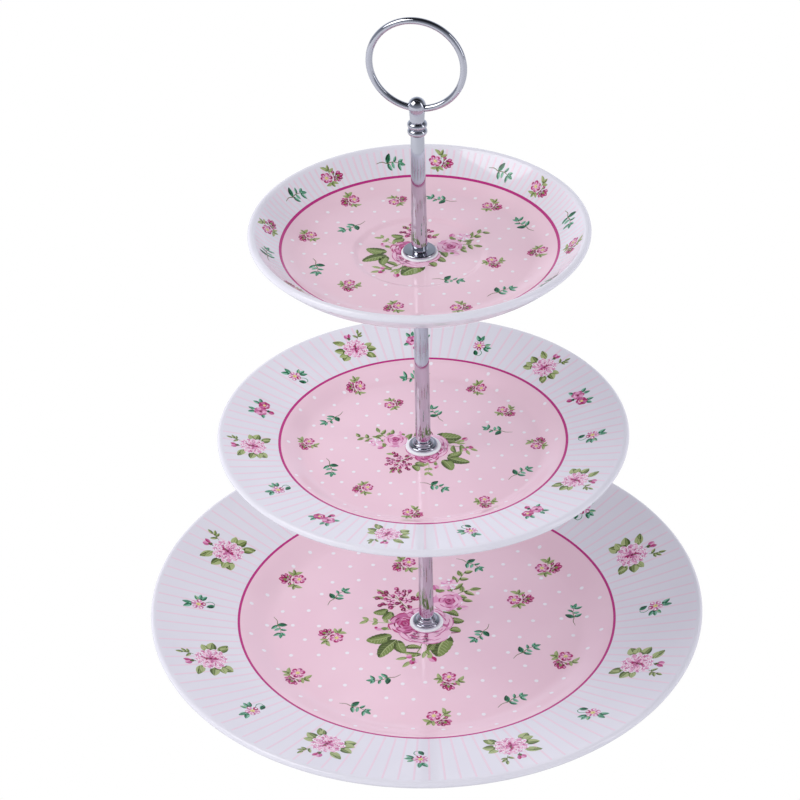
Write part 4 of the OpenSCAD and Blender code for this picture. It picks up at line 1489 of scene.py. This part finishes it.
def studio_floor():
    """A square of paper with a round opening in the middle."""
    mesh = bpy.data.meshes.new("floor")
    shape = bmesh.new()
    inner_ring = []
    outer_ring = []
    for k in range(PLATE_SEGMENTS):
        a = 2 * math.pi * k / PLATE_SEGMENTS
        way = Vector((math.cos(a), math.sin(a), 0.0))
        inner_ring.append(shape.verts.new(way * OPENING_R))
        outer_ring.append(shape.verts.new(way * (FLOOR_HALF / max(abs(way.x), abs(way.y)))))
    for k in range(PLATE_SEGMENTS):
        n = (k + 1) % PLATE_SEGMENTS
        shape.faces.new((inner_ring[k], outer_ring[k], outer_ring[n], inner_ring[n]))
    shape.to_mesh(mesh)
    shape.free()
    made = bpy.data.objects.new("floor", mesh)
    scene.collection.objects.link(made)
    mesh.materials.append(studio_paper())
    return made


def studio_world():
    """Pure white to the camera, a soft room to the light, and a darker room with a wall to reflections."""
    made = bpy.data.worlds.new("studio")
    made.use_nodes = True
    sky = made.node_tree
    sky.nodes.clear()
    end = add_node(sky, "ShaderNodeOutputWorld")
    seen = add_node(sky, "ShaderNodeLightPath").outputs["Is Camera Ray"]
    way = add_node(sky, "ShaderNodeSeparateXYZ", {
        0: add_node(sky, "ShaderNodeTexCoord").outputs["Generated"]})
    # brighter low down and towards the back, much dimmer below the horizon
    level = ramp(sky, way.outputs["Z"], 0.0, 1.0, 1.7, 0.1)
    side = ramp(sky, way.outputs["Y"], -1.0, 1.0, 0.87, 1.56)
    under = ramp(sky, way.outputs["Z"], -0.02, 0.0, 0.3, 1.0)
    power = number(sky, "MULTIPLY", level, number(sky, "MULTIPLY", side, under))
    room = add_node(sky, "ShaderNodeBackground", {"Color": (0.86, 0.87, 0.93, 1), "Strength": power})
    # what the glaze and the chrome reflect: dark overhead, with a brighter wall at the back
    sheen = ramp(sky, way.outputs["Z"], 0.1, 0.85, 0.42, 0.03)
    wall = ramp(sky, way.outputs["Y"], 0.45, 0.75, 1.0, 2.4)
    power = number(sky, "MULTIPLY", sheen, wall)
    mirrored = add_node(sky, "ShaderNodeBackground", {"Color": (0.76, 0.81, 0.93, 1), "Strength": power})
    white = add_node(sky, "ShaderNodeBackground", {"Color": (1, 1, 1, 1), "Strength": 1.0})
    glossy = add_node(sky, "ShaderNodeLightPath").outputs["Is Glossy Ray"]
    lit = add_node(sky, "ShaderNodeMixShader", {0: glossy, 1: room.outputs[0], 2: mirrored.outputs[0]})
    mix = add_node(sky, "ShaderNodeMixShader", {0: seen, 1: lit.outputs[0], 2: white.outputs[0]})
    sky.links.new(mix.outputs[0], end.inputs["Surface"])
    return made


def softbox(name, place_at, width, height, power, colour, aim_at):
    """A rectangular area light aimed at a point."""
    lamp = bpy.data.lights.new(name, "AREA")
    lamp.shape = "RECTANGLE"
    lamp.size = width
    lamp.size_y = height
    lamp.energy = power
    lamp.color = colour
    lit = bpy.data.objects.new(name, lamp)
    scene.collection.objects.link(lit)
    lit.location = place_at
    lit.rotation_euler = (Vector(aim_at) - Vector(place_at)).to_track_quat("-Z", "Y").to_euler()


floor = studio_floor()
scene.world = studio_world()
stand_middle = (0, 0, (cad_box[0][2] + cad_box[1][2]) / 2)
for setting in SOFTBOXES:
    softbox(*setting, stand_middle)

camera_data = bpy.data.cameras.new("camera")
camera_data.lens = LENS_MM
camera_data.sensor_width = SENSOR_MM
camera = bpy.data.objects.new("camera", camera_data)
scene.collection.objects.link(camera)
camera.matrix_world = (Matrix.Translation(CAMERA_AT)
                       @ (LOOK_AT - CAMERA_AT).to_track_quat("-Z", "Y").to_matrix().to_4x4()
                       @ Matrix.Rotation(CAMERA_ROLL, 4, "Z"))
scene.camera = camera
